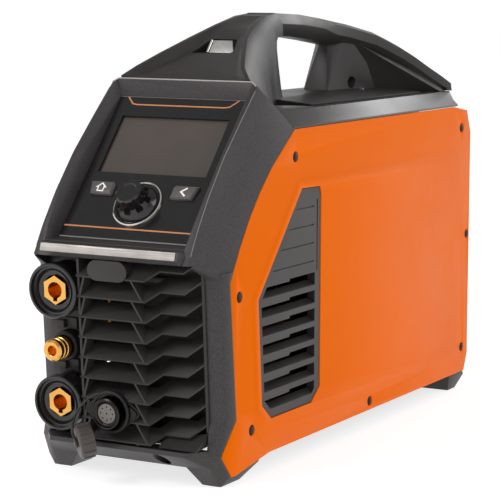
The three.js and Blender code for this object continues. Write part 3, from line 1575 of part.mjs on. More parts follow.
// The coil in the socket lead that couples the arc-starting pulse.
function arcStartCoil() {
  const { x, y, z, outer, inner } = COIL;
  const ring = alongY(circle(x, z, outer, 24), y - 10, y + 10);
  const eye = alongY(circle(x, z, inner, 20), y - 11, y + 11);
  const foot = box(x - 14, x + 14, y - 8, y + 8, TRAY_Z + 2 + GAP, z - outer + 4);
  return ring.add(foot).subtract(eye);
}

function bulkCapacitor() {
  return alongZ(circle(-34, 262, 18, 24), BOARD_Z + 2 + GAP, BOARD_Z + 52)
    .subtract(box(-34.8, -33.2, 250, 274, BOARD_Z + 51, BOARD_Z + 53));
}

const VALVE = { x: SOCKET_X, y: 45, z: HOOD_Z - OUTLET_DROP };

// The solenoid valve behind the gas outlet: a brass block with its coil on top.
function gasValve() {
  const { x, y } = VALVE;
  const { z } = VALVE;
  const block = box(x - 11, x + 11, y - 14, y + 14, z - 9, z + 9);
  const coil = alongZ(circle(x, y, 13, 20), z + 8, z + 38);
  return block.add(coil);
}

// The hose from the rear inlet along the floor to the valve.
function gasHose() {
  const rear = REAR_PLATE - SHELL - 6 - GAP;
  const route = [
    [INLET_X, rear - GAP, SERVICE_Z],
    [INLET_X, rear - 4, SERVICE_Z],
    [INLET_X - 3, rear - 24, SERVICE_Z - 2],
    [-66, rear - 50, 46],
    [-68, 360, 40],
    [-68, 220, 40],
    [-68, 130, 44],
    [-66, 105, 62],
    [-58, 82, 92],
    [SOCKET_X, VALVE.y + 19, VALVE.z],
    [SOCKET_X, VALVE.y + 14 + 2 * GAP, VALVE.z],
  ];
  const path = new THREE.CatmullRomCurve3(route.map((p) => new THREE.Vector3(...p)));
  const section = new THREE.Shape(circle(0, 0, 4, 8).map((p) => new THREE.Vector2(...p)));
  return solid(new THREE.ExtrudeGeometry(section, { steps: 30, extrudePath: path }));
}

// ---------------------------------------------------------------- assembly

const holesForScrews = screwHoles();

add("front_bezel", frontBezel().subtract(holesForScrews), FINISH.bezel);
add("control_fascia", controlFascia(), FINISH.fascia);
add("lcd_module", lcdModule(), FINISH.screen);
add("trim_bar", barSeat(0), FINISH.silver);
const backKey = panelKey();
add("back_button", backKey, FINISH.key);
add("home_button", mirrored(backKey), FINISH.key);
add("display_board", displayBoard(), FINISH.board);
add("encoder_shaft", encoderShaft(), FINISH.aluminium);
add("encoder_knob", encoderKnob(), FINISH.knob);
add("knob_ring", knobRing(), FINISH.chrome);

add("front_grille", frontGrille(), FINISH.grille, lowerFront);
add("blank_cover", oval(0, -0.4, 1.6), FINISH.key, lowerFront);
for (const [pole, z] of Object.entries(SOCKETS)) {
  add(`socket_flange_${pole}`, socketFlange(z), FINISH.socket, lowerFront);
  add(`socket_contact_${pole}`, socketContact(z), FINISH.brass, lowerFront);
}
add("gas_outlet", gasOutlet(), FINISH.brass, lowerFront);
add("gas_outlet_collar", gasOutletCollar(), FINISH.rubber, lowerFront);
add("remote_gasket", remoteGasket(), FINISH.rubber, lowerFront);
add("remote_shell", remoteShell(), FINISH.remote, lowerFront);
add("remote_insert", remoteInsert(), FINISH.insert, lowerFront);
add("cap_tether", capTether(), FINISH.rubber, lowerFront);
add("dust_cap", dustCap(), FINISH.cap, lowerFront);

add("top_cover", topCover(), FINISH.bezel);
add("handle", handle(), FINISH.bezel);
const rightPanel = sidePanel();
const rightVent = sideVent();
add("side_panel_right", rightPanel, FINISH.orange);
add("side_panel_left", mirrored(rightPanel), FINISH.orange);
add("vent_right", rightVent, FINISH.grille);
add("vent_left", mirrored(rightVent), FINISH.grille);
PANEL_SCREWS.forEach((place, i) => {
  add(`screw_right_${i + 1}`, panelScrew(place, 1), FINISH.screw);
  add(`screw_left_${i + 1}`, panelScrew(place, -1), FINISH.screw);
});
add("base_tray", baseTray().subtract(holesForScrews), FINISH.bezel);
add("rear_bezel", rearBezel().subtract(holesForScrews), FINISH.bezel);
add("power_switch", switchBody(), FINISH.rubber);
add("power_rocker", powerRocker(), FINISH.socket);
add("cable_gland", cableGland(), FINISH.rubber);
add("gas_inlet", gasInlet(), FINISH.brass);

add("fan_frame", fanFrame(), FINISH.fan);
add("fan_rotor", fanRotor(), FINISH.fan);
add("heatsink", heatsink(), FINISH.aluminium);
add("power_board", powerBoard(), FINISH.board);
add("transformer_core", transformerCore(), FINISH.ferrite);
add("transformer_winding", transformerWinding(), FINISH.copper);
add("output_choke", outputChoke(), FINISH.copper);
add("arc_start_coil", arcStartCoil(), FINISH.ferrite);
add("bulk_capacitor", bulkCapacitor(), FINISH.can);
add("gas_valve", gasValve(), FINISH.brass);
add("gas_hose", gasHose(), FINISH.rubber);

// The origin is on the floor under the middle of the machine's own box.
machine.add(lowerFront);
machine.updateMatrixWorld(true);
const extent = new THREE.Box3().setFromObject(machine, true);
machine.position.y = -(extent.min.y + extent.max.y) / 2;
machine.position.z = -extent.min.z;
const group = new THREE.Group();
group.add(machine);
export default group;
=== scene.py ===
"""TIG welding machine: materials, fine detail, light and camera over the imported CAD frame."""

import json
import math

import bmesh
import bpy
from mathutils import Matrix, Quaternion, Vector


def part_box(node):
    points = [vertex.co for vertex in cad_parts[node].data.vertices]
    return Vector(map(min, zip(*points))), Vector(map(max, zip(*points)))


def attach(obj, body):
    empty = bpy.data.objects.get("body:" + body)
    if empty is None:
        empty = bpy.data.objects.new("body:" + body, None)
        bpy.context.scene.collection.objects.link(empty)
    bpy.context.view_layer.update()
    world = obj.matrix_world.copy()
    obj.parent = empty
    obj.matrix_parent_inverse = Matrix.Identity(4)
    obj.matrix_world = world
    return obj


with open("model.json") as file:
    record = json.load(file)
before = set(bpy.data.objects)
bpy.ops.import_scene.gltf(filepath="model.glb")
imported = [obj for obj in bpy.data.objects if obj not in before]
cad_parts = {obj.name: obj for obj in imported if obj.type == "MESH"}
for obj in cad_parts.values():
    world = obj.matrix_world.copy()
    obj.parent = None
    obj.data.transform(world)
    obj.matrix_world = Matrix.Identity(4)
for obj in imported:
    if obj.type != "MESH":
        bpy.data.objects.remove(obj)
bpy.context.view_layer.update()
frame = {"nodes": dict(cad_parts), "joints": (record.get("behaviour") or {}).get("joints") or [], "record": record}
NODES = frame["nodes"]
JOINTS = {j["name"]: j for j in frame["joints"]}
MM = 0.001

# ---------------------------------------------------------------- camera

AZIMUTH, ELEVATION, ROLL = math.radians(29.25), math.radians(7.755), math.radians(0.113)
EYE = Vector((0.850, -1.5415, 0.397))
LENS, SENSOR = 145.2, 36.0


def make_camera():
    """A long lens in front of the machine and to its right, level with the handle."""
    data = bpy.data.cameras.new("camera")
    data.lens, data.sensor_width = LENS, SENSOR
    data.clip_start, data.clip_end = 0.05, 50
    camera = bpy.data.objects.new("camera", data)
    bpy.context.scene.collection.objects.link(camera)
    back = Vector(
        (
            math.sin(AZIMUTH) * math.cos(ELEVATION),
            -math.cos(AZIMUTH) * math.cos(ELEVATION),
            math.sin(ELEVATION),
        )
    )
    camera.rotation_mode = "QUATERNION"
    turn = (-back).to_track_quat("-Z", "Y")
    camera.rotation_quaternion = turn @ Quaternion((0, 0, 1), ROLL)
    camera.location = EYE
    bpy.context.scene.camera = camera


make_camera()

# ---------------------------------------------------------------- materials


class Shader:
    """A material's node tree, with short calls for the nodes that it needs."""

    def __init__(self, name):
        self.material = bpy.data.materials.new(name)
        self.material.use_nodes = True
        self.tree = self.material.node_tree
        self.bsdf = self.tree.nodes["Principled BSDF"]
        self.place = self.tree.nodes.new("ShaderNodeTexCoord").outputs["Object"]

    def link(self, a, b):
        self.tree.links.new(a, b)

    def noise(self, scale, detail=3.0, stretch=None):
        node = self.tree.nodes.new("ShaderNodeTexNoise")
        node.inputs["Scale"].default_value = scale
        node.inputs["Detail"].default_value = detail
        source = self.place
        if stretch:
            mapping = self.tree.nodes.new("ShaderNodeMapping")
            mapping.inputs["Scale"].default_value = stretch
            self.link(source, mapping.inputs["Vector"])
            source = mapping.outputs["Vector"]
        self.link(source, node.inputs["Vector"])
        return node.outputs["Fac"]

    def span(self, value, low, high, start=0.3, end=0.7):
        node = self.tree.nodes.new("ShaderNodeMapRange")
        node.inputs["From Min"].default_value = start
        node.inputs["From Max"].default_value = end
        node.inputs["To Min"].default_value = low
        node.inputs["To Max"].default_value = high
        self.link(value, node.inputs["Value"])
        return node.outputs["Result"]

    def mix(self, factor, a, b):
        node = self.tree.nodes.new("ShaderNodeMix")
        node.data_type = "RGBA"
        for socket, value in ((node.inputs[6], a), (node.inputs[7], b)):
            if isinstance(value, tuple):
                socket.default_value = (*value, 1)
            else:
                self.link(value, socket)
        self.link(factor, node.inputs[0])
        return node.outputs[2]

    def bump(self, height, strength, distance, after=None):
        node = self.tree.nodes.new("ShaderNodeBump")
        node.inputs["Strength"].default_value = strength
        node.inputs["Distance"].default_value = distance
        self.link(height, node.inputs["Height"])
        if after is not None:
            self.link(after, node.inputs["Normal"])
        return node.outputs["Normal"]


def linear(red, green, blue):
    """sRGB 0 to 255 as linear colour."""

    def one(value):
        value /= 255
        return value / 12.92 if value <= 0.04045 else ((value + 0.055) / 1.055) ** 2.4

    return one(red), one(green), one(blue)


def moulded(name, colour, rough, grain=1400, depth=0.25, sheen=0.06, fleck=0.12, shine=0.35):
    """Moulded plastic: a fine grain, slight mottling and worn, smoother patches."""
    s = Shader(name)
    light = tuple(min(1, c * (1 + fleck)) for c in colour)
    dark = tuple(c * (1 - fleck) for c in colour)
    fine = s.noise(grain, 2.0)
    broad = s.noise(14, 4.0)
    grains = s.mix(s.span(fine, 0, 1, 0.35, 0.65), dark, light)
    patches = s.mix(s.span(broad, 0, 0.35), grains, light)
    s.link(patches, s.bsdf.inputs["Base Color"])
    s.link(s.span(broad, rough - sheen, rough + sheen), s.bsdf.inputs["Roughness"])
    s.link(s.bump(fine, depth, 0.0002), s.bsdf.inputs["Normal"])
    s.bsdf.inputs["Specular IOR Level"].default_value = shine
    return s.material


COAT_SHINE = 0.07


def powder_coat(name, colour, two_sided=False, tint=(1, 1, 1)):
    """Semi-gloss powder coat with its orange peel; a two-sided sheet is dark on its inner face: dark primer that
    is also painted shade for the inside of the case.
    """
    s = Shader(name)
    tone = s.noise(5, 3.0)
    warm = tuple(c * f for c, f in zip(colour, (0.97, 0.94, 0.9)))
    coat = s.mix(s.span(tone, 0, 1), colour, warm)
    if two_sided:
        split, lean = (s.tree.nodes.new("ShaderNodeSeparateXYZ") for _ in range(2))
        s.link(s.place, split.inputs[0])
        s.link(s.tree.nodes.new("ShaderNodeNewGeometry").outputs["True Normal"], lean.inputs[0])
        outward = s.tree.nodes.new("ShaderNodeMath")
        outward.operation = "MULTIPLY"
        s.link(split.outputs["X"], outward.inputs[0])
        s.link(lean.outputs["X"], outward.inputs[1])
        # Inner faces take the dark primer, which is also painted shade for the inside of the case.
        coat = s.mix(s.span(outward.outputs[0], 0, 1, *INWARD), PRIMER_AND_SHADE, coat)
    s.link(coat, s.bsdf.inputs["Base Color"])
    s.bsdf.inputs["Specular IOR Level"].default_value = COAT_SHINE
    s.bsdf.inputs["Specular Tint"].default_value = (*tint, 1)
    peel = s.noise(420, 2.0)
    fine = s.noise(2600, 1.0)
    s.link(s.span(s.noise(30), 0.36, 0.46), s.bsdf.inputs["Roughness"])
    s.link(s.bump(fine, 0.06, 0.0001, s.bump(peel, 0.12, 0.0003)), s.bsdf.inputs["Normal"])
    return s.material


def metal(name, colour, rough, stretch=(1, 1, 1), scale=600, depth=0.12):
    """Turned, brushed or cast metal: fine scratches along its grain and dulled patches."""
    s = Shader(name)
    s.bsdf.inputs["Metallic"].default_value = 1
    scratches = s.noise(scale, 3.0, stretch)
    tone = s.noise(60, 2.0)
    dull = tuple(c * 0.72 for c in colour)
    s.link(s.mix(s.span(tone, 0, 0.6), colour, dull), s.bsdf.inputs["Base Color"])
    s.link(s.span(scratches, rough * 0.75, rough * 1.35), s.bsdf.inputs["Roughness"])
    s.link(s.bump(scratches, depth, 0.0001), s.bsdf.inputs["Normal"])
    return s.material


def glossy(name, colour, rough, haze=0.05, coat=0.0):
    """Smooth plastic or glass with faint finger haze."""
    s = Shader(name)
    haze_map = s.noise(35, 5.0)
    s.link(s.span(haze_map, rough, rough + haze), s.bsdf.inputs["Roughness"])
    lift = tuple(min(1, c * 1.12 + 0.001) for c in colour)
    s.link(s.mix(s.span(haze_map, 0, 1), colour, lift), s.bsdf.inputs["Base Color"])
    s.link(s.bump(s.noise(900, 1.0), 0.02, 0.0001), s.bsdf.inputs["Normal"])
    s.bsdf.inputs["Coat Weight"].default_value = coat
    return s.material


# Dark primer of the sheets' inner faces, also painted shade for the inside of the case.
PRIMER_AND_SHADE = linear(24, 22, 21)
INWARD = (-0.01, -0.009)  # x times the face's lean along x, below which a face looks inwards
FINISHES = {
    "charcoal_abs": moulded("charcoal_abs", linear(47, 44, 43), 0.42),
    "hood_grain": moulded("hood_grain", linear(52, 49, 49), 0.46, grain=900, fleck=0.35),
    "cover_satin": moulded("cover_satin", linear(50, 47, 46), 0.3, depth=0.12, shine=0.5),
    "knob_gloss": glossy("knob_gloss", linear(24, 21, 21), 0.16, coat=0.1),
    # Painted shade: black for the screw sockets and for the sheet behind the louvres.
    "painted_shade_black": moulded("painted_shade_black", linear(14, 13, 13), 0.5),
    "plate_steel": metal("plate_steel", linear(205, 203, 200), 0.42, (1, 1, 0.05)),
    "rim_highlight": glossy("rim_highlight", linear(176, 170, 166), 0.3),
    "fascia_gloss": glossy("fascia_gloss", linear(22, 20, 20), 0.16, coat=0.0),
    "screen": glossy("screen", linear(74, 66, 61), 0.2, coat=0.2),
    "brushed_aluminium": metal("brushed_aluminium", linear(182, 176, 172), 0.5, (0.03, 1, 1)),
    "grey_abs": moulded("grey_abs", linear(92, 87, 85), 0.45),
    "zinc_steel": metal("zinc_steel", linear(52, 50, 50), 0.4),
    "chrome_ring": metal("chrome_ring", linear(225, 222, 216), 0.14, depth=0.02),
    "socket_nylon": moulded("socket_nylon", linear(27, 25, 25), 0.24, depth=0.1, shine=0.6),
    "brass_contact": metal("brass_contact", linear(238, 180, 96), 0.22, depth=0.05),
    "black_rubber": moulded("black_rubber", linear(34, 32, 32), 0.5, grain=2200),
    "black_anodised": metal("black_anodised", linear(52, 49, 48), 0.26),
    "insert_plastic": moulded("insert_plastic", linear(112, 108, 104), 0.55),
    "cap_plastic": moulded("cap_plastic", linear(70, 63, 61), 0.4),
    "orange_powder_coat": powder_coat("orange_powder_coat", linear(229, 104, 0), True, (1, 0.45, 0.08)),
    "black_steel": powder_coat("black_steel", linear(26, 25, 25)),
    "circuit_board": glossy("circuit_board", linear(22, 70, 46), 0.4),
    "bare_aluminium": metal("bare_aluminium", linear(190, 192, 194), 0.4, (1, 0.03, 1)),
    "ferrite": moulded("ferrite", linear(62, 58, 55), 0.7, grain=1000),
    "copper_wire": metal("copper_wire", linear(190, 110, 62), 0.35),
    "capacitor_sleeve": glossy("capacitor_sleeve", linear(40, 50, 80), 0.3),
    "icon_white": glossy("icon_white", linear(238, 238, 236), 0.4),
    "line_copper": glossy("line_copper", linear(205, 132, 88), 0.4),
    # Grey for printed lines and the pegs, and for painted highlights on the fascia's top edge and the ridges.
    "line_grey": glossy("line_grey", linear(120, 116, 114), 0.35),
}

OWN_FINISH = {
    "front_bezel": "hood_grain",
    "top_cover": "cover_satin",
    "encoder_knob": "knob_gloss",
    "blank_cover": "charcoal_abs",
}
for entry in frame["record"]["subparts"]:
    node = NODES[entry["node"]]
    node.data.materials.clear()
    node.data.materials.append(FINISHES[OWN_FINISH.get(entry["node"], entry["material_slot"])])

# ---------------------------------------------------------------- shading of the CAD nodes


def smooth_group(angle):
    """Geometry nodes that shade smooth across edges flatter than an angle."""
    group = bpy.data.node_groups.new(f"smooth_{int(math.degrees(angle))}", "GeometryNodeTree")
    group.interface.new_socket("Geometry", in_out="INPUT", socket_type="NodeSocketGeometry")
    group.interface.new_socket("Geometry", in_out="OUTPUT", socket_type="NodeSocketGeometry")
    nodes, links = group.nodes, group.links
    start, end = nodes.new("NodeGroupInput"), nodes.new("NodeGroupOutput")
    faces = nodes.new("GeometryNodeSetShadeSmooth")
    faces.domain = "FACE"
    edges = nodes.new("GeometryNodeSetShadeSmooth")
    edges.domain = "EDGE"
    edges.inputs["Shade Smooth"].default_value = False
    turn = nodes.new("GeometryNodeInputMeshEdgeAngle")
    sharp = nodes.new("FunctionNodeCompare")
    sharp.data_type = "FLOAT"
    sharp.operation = "GREATER_THAN"
    sharp.inputs["B"].default_value = angle
    links.new(turn.outputs["Unsigned Angle"], sharp.inputs["A"])
    links.new(start.outputs[0], faces.inputs["Geometry"])
    links.new(faces.outputs[0], edges.inputs["Geometry"])
    links.new(sharp.outputs[0], edges.inputs["Selection"])
    links.new(edges.outputs[0], end.inputs[0])
    return group


SHARP = math.radians(38)  # a steeper edge than this stays sharp
SMOOTH = smooth_group(SHARP)
MERGE = 2e-6


def soften(obj, bevel=0.0, segments=2):
    """Welds the mesh, rounds its sharp edges and shades its curved faces smooth."""
    obj.modifiers.new("weld", "WELD").merge_threshold = MERGE
    if bevel:
        rounding = obj.modifiers.new("bevel", "BEVEL")
        rounding.width = bevel * MM
        rounding.segments = segments
        rounding.limit_method = "ANGLE"
        rounding.angle_limit = SHARP
        rounding.use_clamp_overlap = True
        rounding.miter_outer = "MITER_ARC"
    obj.modifiers.new("smooth", "NODES").node_group = SMOOTH


BEVELS = {  # millimetres
    "front_bezel": 0.7,
    "handle": 1.2,
    "top_cover": 0.6,
    "rear_bezel": 0.6,
    "side_panel_left": 0.35,
    "side_panel_right": 0.35,
    "trim_bar": 0.4,
    "home_button": 0.3,
    "back_button": 0.3,
    "front_grille": 0.25,
    "blank_cover": 0.6,
    "dust_cap": 0.3,
}
for name, node in NODES.items():
    soften(node, BEVELS.get(name, 0.0))

# ---------------------------------------------------------------- mesh pieces


def piece(name, bm, finish, body="case", bevel=0.0, smooth=True):
    """A new object from a bmesh, with its finish, riding on a CAD body."""
    bmesh.ops.recalc_face_normals(bm, faces=bm.faces)
    mesh = bpy.data.meshes.new(name)
    bm.to_mesh(mesh)
    bm.free()
    obj = bpy.data.objects.new(name, mesh)
    bpy.context.scene.collection.objects.link(obj)
    mesh.materials.append(FINISHES[finish])
    if smooth or bevel:
        soften(obj, bevel)
    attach(obj, body)
    return obj


class Plane:
    """A flat frame on the machine: x across, up along it and out of it."""

    def __init__(self, origin, out):
        self.out = Vector(out).normalized()
        self.across = Vector((1, 0, 0))
        self.up = self.out.cross(self.across).normalized()
        self.origin = Vector(origin)

    def at(self, x, s, n):
        return self.origin + self.across * x + self.up * s + self.out * n


# The fascia's own frame, from its joint axes and its box.
OUT = -Vector(JOINTS["home_press"]["axis"]).normalized()
low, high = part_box("control_fascia")
FASCIA_T = 2 * MM
FASCIA_LENGTH = (high.y - low.y - FASCIA_T * abs(OUT.y)) / OUT.z
PANEL = Plane((0, low.y, high.z - FASCIA_LENGTH * abs(OUT.y)), OUT)
FASCIA_HALF = high.x


def prism(bm, first, second):
    """A closed prism between two rings of points."""
    a, b = ([bm.verts.new(point) for point in ring] for ring in (first, second))
    bm.faces.new(a[::-1])
    bm.faces.new(b)
    for i in range(len(a)):
        j = (i + 1) % len(a)
        bm.faces.new((a[i], a[j], b[j], b[i]))


def rod(bm, start, end, radius, sides=16):
    """A round bar between two points."""
    way = (end - start).normalized()
    a = way.orthogonal().normalized()
    b = way.cross(a)
    turns = [2 * math.pi * i / sides for i in range(sides)]
    round_way = [radius * (a * math.cos(t) + b * math.sin(t)) for t in turns]
    prism(bm, [start + r for r in round_way], [end + r for r in round_way])


def ribbon(points, width, closed=False):
    """The outline of a line of even width along x, s points."""
    count = len(points)
    left, right = [], []
    for i, here in enumerate(points):
        before = points[i - 1] if i or closed else None
        after = points[(i + 1) % count] if i < count - 1 or closed else None
        a = (Vector(here) - Vector(before)).normalized() if before else None
        b = (Vector(after) - Vector(here)).normalized() if after else None
        a, b = a or b, b or a
        turn = (a + b).normalized()
        side = Vector((-turn.y, turn.x)) * (width / 2 / max(0.3, turn.dot(a)))
        left.append(tuple(Vector(here) + side))
        right.append(tuple(Vector(here) - side))
    return left, right


def printed(name, points, width, finish, n0, n1, body="case", closed=False):
    """A printed line, as a thin strip standing just proud of the surface."""
    left, right = ribbon(points, width, closed)
    bm = bmesh.new()
    spans = range(len(points) if closed else len(points) - 1)
    rings = []
    for l, r in zip(left, right):
        rings.append([bm.verts.new(PANEL.at(*p, n)) for p, n in ((l, n0), (r, n0), (r, n1), (l, n1))])
    for i in spans:
        a, b = rings[i], rings[(i + 1) % len(rings)]
        for k in range(4):
            bm.faces.new((a[k], a[(k + 1) % 4], b[(k + 1) % 4], b[k]))
    if not closed:
        bm.faces.new(rings[0][::-1])
        bm.faces.new(rings[-1])
    return piece(name, bm, finish, body, smooth=False)


# Printed lines. "Up" is the way along the fascia from its lower edge.
PRINT_RISE = 0.12 * MM
EDGE_MARGIN = 0.5 * MM
COPPER_LINE_UP = 11.5 * MM
FOOT_LINE_UP = 1.0 * MM
TRAY_LINE = ((52.5 * MM, 0.6 * MM), (46 * MM, 7.4 * MM), (41.7 * MM, 8.3 * MM))  # half, below the top


def across_fascia(name, up, width, finish):
    """A printed line from side to side."""
    edge = FASCIA_HALF - EDGE_MARGIN
    printed(name, [(-edge, up), (edge, up)], width, finish, 0, PRINT_RISE)


def fascia_print():
    """The fascia's printed lines."""
    across_fascia("fascia_line_low", COPPER_LINE_UP, 1.3 * MM, "line_copper")
    across_fascia("fascia_line_foot", FOOT_LINE_UP, 1.2 * MM, "line_grey")
    left = [(-x, FASCIA_LENGTH - drop) for x, drop in TRAY_LINE]
    tray = [*left, *[(-x, s) for x, s in reversed(left)]]
    printed("fascia_line_top", tray, 1.2 * MM, "line_copper", 0, PRINT_RISE)


fascia_print()

KEY_STAND = 3.0 * MM  # key faces above the fascia
KEY_UP = 48 * MM  # key centres above the fascia's lower edge
ICON_RISE = 0.1 * MM
# Icon outlines, in millimetres from the keys' centres.
HOUSE = [(-3.9, 0.2), (0, 3.8), (3.9, 0.2), (2.6, 0.2), (2.6, -3.6), (-2.6, -3.6), (-2.6, 0.2)]
ARROW = [(2.2, 3.9), (-2.6, 0), (2.2, -3.9)]


def key_icons():
    """A house on the home key and an arrow on the back key."""
    low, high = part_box("back_button")
    centre = (low.x + high.x) / 2 - 0.4 * MM
    icons = (
        ("icon_home", -centre, HOUSE, 1.1 * MM, "home_key", True),
        ("icon_back", centre, ARROW, 1.5 * MM, "back_key", False),
    )
    for name, middle, shape, width, body, closed in icons:
        outline = [(middle + x * MM, KEY_UP + y * MM) for x, y in shape]
        printed(name, outline, width, "icon_white", KEY_STAND, KEY_STAND + ICON_RISE, body, closed)


key_icons()

HOOD_TOP_UP = 11.8 * MM  # the hood's top edge above the fascia's
HOOD_TOP_OUT = 9.0 * MM  # and in front of the fascia's plane
HOOD_TOP_SPREAD = 3 * MM
CORNER_RUN, CORNER_DROP = 5 * MM, 4 * MM


def hood_rim_highlight():
    """Painted highlights: bright lines along the hood's top edge and along the fascia's top edge."""
    half, up = FASCIA_HALF + HOOD_TOP_SPREAD, FASCIA_LENGTH + HOOD_TOP_UP
    right = [(half, up), (half + CORNER_RUN, up - CORNER_DROP)]
    rim = [*[(-x, s) for x, s in reversed(right)], *right]
    inner, outer = HOOD_TOP_OUT - 0.6 * MM, HOOD_TOP_OUT + 0.35 * MM
    printed("hood_rim_highlight", rim, 0.8 * MM, "rim_highlight", inner, outer)
    across_fascia("fascia_rim_highlight", FASCIA_LENGTH - 0.4 * MM, 0.5 * MM, "line_grey")


hood_rim_highlight()


def surface(node, start, way):
    """Where a straight line from a point first meets a CAD node."""
    start, way = Vector(start), Vector(way)
    into = node.matrix_world.inverted()
    hit, place, _, _ = node.ray_cast(into @ start, into.to_3x3() @ way)
    return node.matrix_world @ place if hit else None


OPENINGS = {o["name"]: [Vector(c) for c in o["box_m"]] for o in frame["record"]["physics"]["openings"]}


PLATE_SINK = 2.2 * MM  # plate below the handle's face
PLATE_T = 1.5 * MM
PLATE_LEFT, PLATE_FOOT, PLATE_HEAD = -4.5 * MM, 19.0 * MM, 12.8 * MM
PIN_R = 1.1 * MM


def strap_buckle():
    """A steel plate and its pin inside the handle's front strap slot."""
    low, high = OPENINGS["front_strap_slot"]
    heights = (low.z - 1.3 * MM, high.z + 1.1 * MM)
    beside = high.x + 12 * MM
    front = [surface(NODES["handle"], (beside, -1, z), (0, 1, 0)).y + PLATE_SINK for z in heights]
    corners = ((PLATE_LEFT, 0), (PLATE_FOOT, 0), (PLATE_HEAD, 1), (PLATE_LEFT, 1))
    face = [Vector((x, front[k], heights[k])) for x, k in corners]
    bm = bmesh.new()
    prism(bm, face, [point + Vector((0, PLATE_T, 0)) for point in face])
    piece("strap_plate", bm, "plate_steel", bevel=0.3)
    bm = bmesh.new()
    x = PLATE_LEFT - 1.6 * MM
    rod(bm, *[Vector((x, front[k], heights[k])) for k in (0, 1)], PIN_R)
    piece("strap_pin", bm, "chrome_ring")


strap_buckle()

PEG_R, PEG_ROOT, PEG_STAND = 1.5 * MM, 2 * MM, 2.2 * MM


def strap_pegs():
    """The short pegs beside the handle's rear strap hole."""
    low, high = OPENINGS["rear_strap_hole"]
    y, z = high.y + 2.6 * MM, low.z - 3.2 * MM
    for name, side in (("right", 1), ("left", -1)):
        foot = surface(NODES["handle"], (side * 0.2, y, z), (-side, 0, 0))
        out = Vector((side, 0, 0))
        bm = bmesh.new()
        rod(bm, foot - out * PEG_ROOT, foot + out * PEG_STAND, PEG_R)
        piece(f"strap_peg_{name}", bm, "line_grey", bevel=0.2)


strap_pegs()

RECESS_R, RECESS_DEPTH, RECESS_PROUD = 1.6 * MM, 0.6 * MM, 0.05 * MM


def screw_recesses():
    """A dark hexagon just proud of each side screw's head: painted shade for its hexagon socket."""
    for name in sorted(n for n in NODES if n.startswith("screw_")):
        low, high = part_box(name)
        out = Vector((1 if low.x > 0 else -1, 0, 0))
        face = Vector((max(abs(low.x), abs(high.x)) * out.x, (low.y + high.y) / 2, (low.z + high.z) / 2))
        bm = bmesh.new()
        rod(bm, face - out * RECESS_DEPTH, face + out * RECESS_PROUD, RECESS_R, 6)
        piece(f"recess_{name}", bm, "painted_shade_black", smooth=False)


screw_recesses()

CREASE_STEPS = 24
CREASE_R = 0.4 * MM
CREASE_START, CREASE_RUN_ON = -14 * MM, 24 * MM  # past the fascia's lower edge, and in all
CREASE_OUT, CREASE_NARROWING = 11.0 * MM, 2.4 * MM


def ridge_highlights():
    """A painted highlight along the crease of each ridge beside the fascia."""
    for name, side in (("right", 1), ("left", -1)):
        path = []
        for i in range(CREASE_STEPS + 1):
            share = i / CREASE_STEPS
            s = CREASE_START + share * (FASCIA_LENGTH + CREASE_RUN_ON)
            x = side * (FASCIA_HALF + CREASE_OUT - CREASE_NARROWING * share)
            hit = surface(NODES["front_bezel"], PANEL.at(x, s, 80 * MM), -PANEL.out)
            if hit is not None:
                path.append(hit)
        bm = bmesh.new()
        for a, b in zip(path, path[1:]):
            rod(bm, a, b, CREASE_R, 8)
        piece(f"ridge_highlight_{name}", bm, "line_grey")


ridge_highlights()

SCREEN_GAP, SCREEN_T = 1.5 * MM, 0.8 * MM


def shade_screen():
    """A dark sheet behind the louvres: painted shade for the inside of the case."""
    low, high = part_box("front_grille")
    y = high.y + SCREEN_GAP
    x0, z0, x1, z1 = low.x + 42 * MM, low.z + 3 * MM, high.x - 4 * MM, high.z - 3 * MM
    face = [Vector((x, y, z)) for x, z in ((x0, z0), (x1, z0), (x1, z1), (x0, z1))]
    bm = bmesh.new()
    prism(bm, face, [point + Vector((0, SCREEN_T, 0)) for point in face])
    piece("shade_screen", bm, "painted_shade_black", smooth=False)


shade_screen()

# ---------------------------------------------------------------- floor and light


FLOOR_HALF = 12
FLOOR_GLOW = 0.74  # keeps the floor pale where the machine shades it
HORIZON = {"From Min": 0.26, "From Max": 0.55, "To Min": 1.03, "To Max": 0.42}


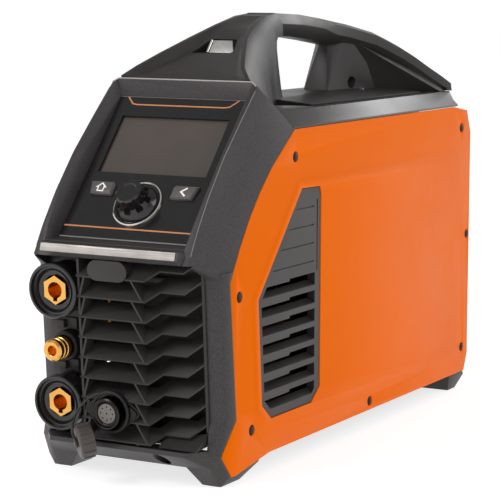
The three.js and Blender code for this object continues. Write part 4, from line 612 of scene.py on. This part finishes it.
def stage():
    """A plain pale floor."""
    bm = bmesh.new()
    for x, y in ((-1, -1), (1, -1), (1, 1), (-1, 1)):
        bm.verts.new((x * FLOOR_HALF, y * FLOOR_HALF, 0))
    bm.faces.new(bm.verts)
    mesh = bpy.data.meshes.new("floor")
    bm.to_mesh(mesh)
    bm.free()
    floor = bpy.data.objects.new("floor", mesh)
    bpy.context.scene.collection.objects.link(floor)
    s = Shader("floor")
    s.bsdf.inputs["Base Color"].default_value = (0.5, 0.5, 0.5, 1)
    s.bsdf.inputs["Emission Color"].default_value = (1, 1, 1, 1)
    s.bsdf.inputs["Emission Strength"].default_value = FLOOR_GLOW
    s.bsdf.inputs["Roughness"].default_value = 0.9
    s.bsdf.inputs["Specular IOR Level"].default_value = 0.0
    mesh.materials.append(s.material)


LIT_POINT = (0, 0, 0.15)


def area(name, place, target, width, height, watts):
    """A soft box that faces a point."""
    light = bpy.data.lights.new(name, "AREA")
    light.shape, light.size, light.size_y = "RECTANGLE", width, height
    light.energy = watts
    obj = bpy.data.objects.new(name, light)
    bpy.context.scene.collection.objects.link(obj)
    obj.location = place
    obj.rotation_mode = "QUATERNION"
    obj.rotation_quaternion = (Vector(target) - Vector(place)).to_track_quat("-Z", "Y")


def sky():
    """A white band round the horizon under a grey sky, so that glossy faces show contrast."""
    world = bpy.data.worlds.new("world")
    bpy.context.scene.world = world
    world.use_nodes = True
    tree = world.node_tree
    background = tree.nodes["Background"]
    background.inputs["Color"].default_value = (1, 1, 1, 1)
    place = tree.nodes.new("ShaderNodeTexCoord").outputs["Generated"]
    split = tree.nodes.new("ShaderNodeSeparateXYZ")
    tree.links.new(place, split.inputs[0])
    fall = tree.nodes.new("ShaderNodeMapRange")
    fall.interpolation_type = "SMOOTHSTEP"
    for key, value in HORIZON.items():
        fall.inputs[key].default_value = value
    tree.links.new(split.outputs["Z"], fall.inputs["Value"])
    tree.links.new(fall.outputs["Result"], background.inputs["Strength"])


def lights():
    """The sky and three soft boxes: in front to the left, to the right, and behind."""
    sky()
    area("key_light", (-1.0, -1.9, 1.7), LIT_POINT, 0.9, 0.9, 22)
    area("side_light", (2.2, 0.2, 1.7), LIT_POINT, 1.6, 0.8, 11)
    area("back_light", (0.5, 2.2, 1.3), (0, 0, 0.2), 1.6, 0.5, 9)


stage()
lights()
bpy.context.scene.view_settings.view_transform = "Standard"
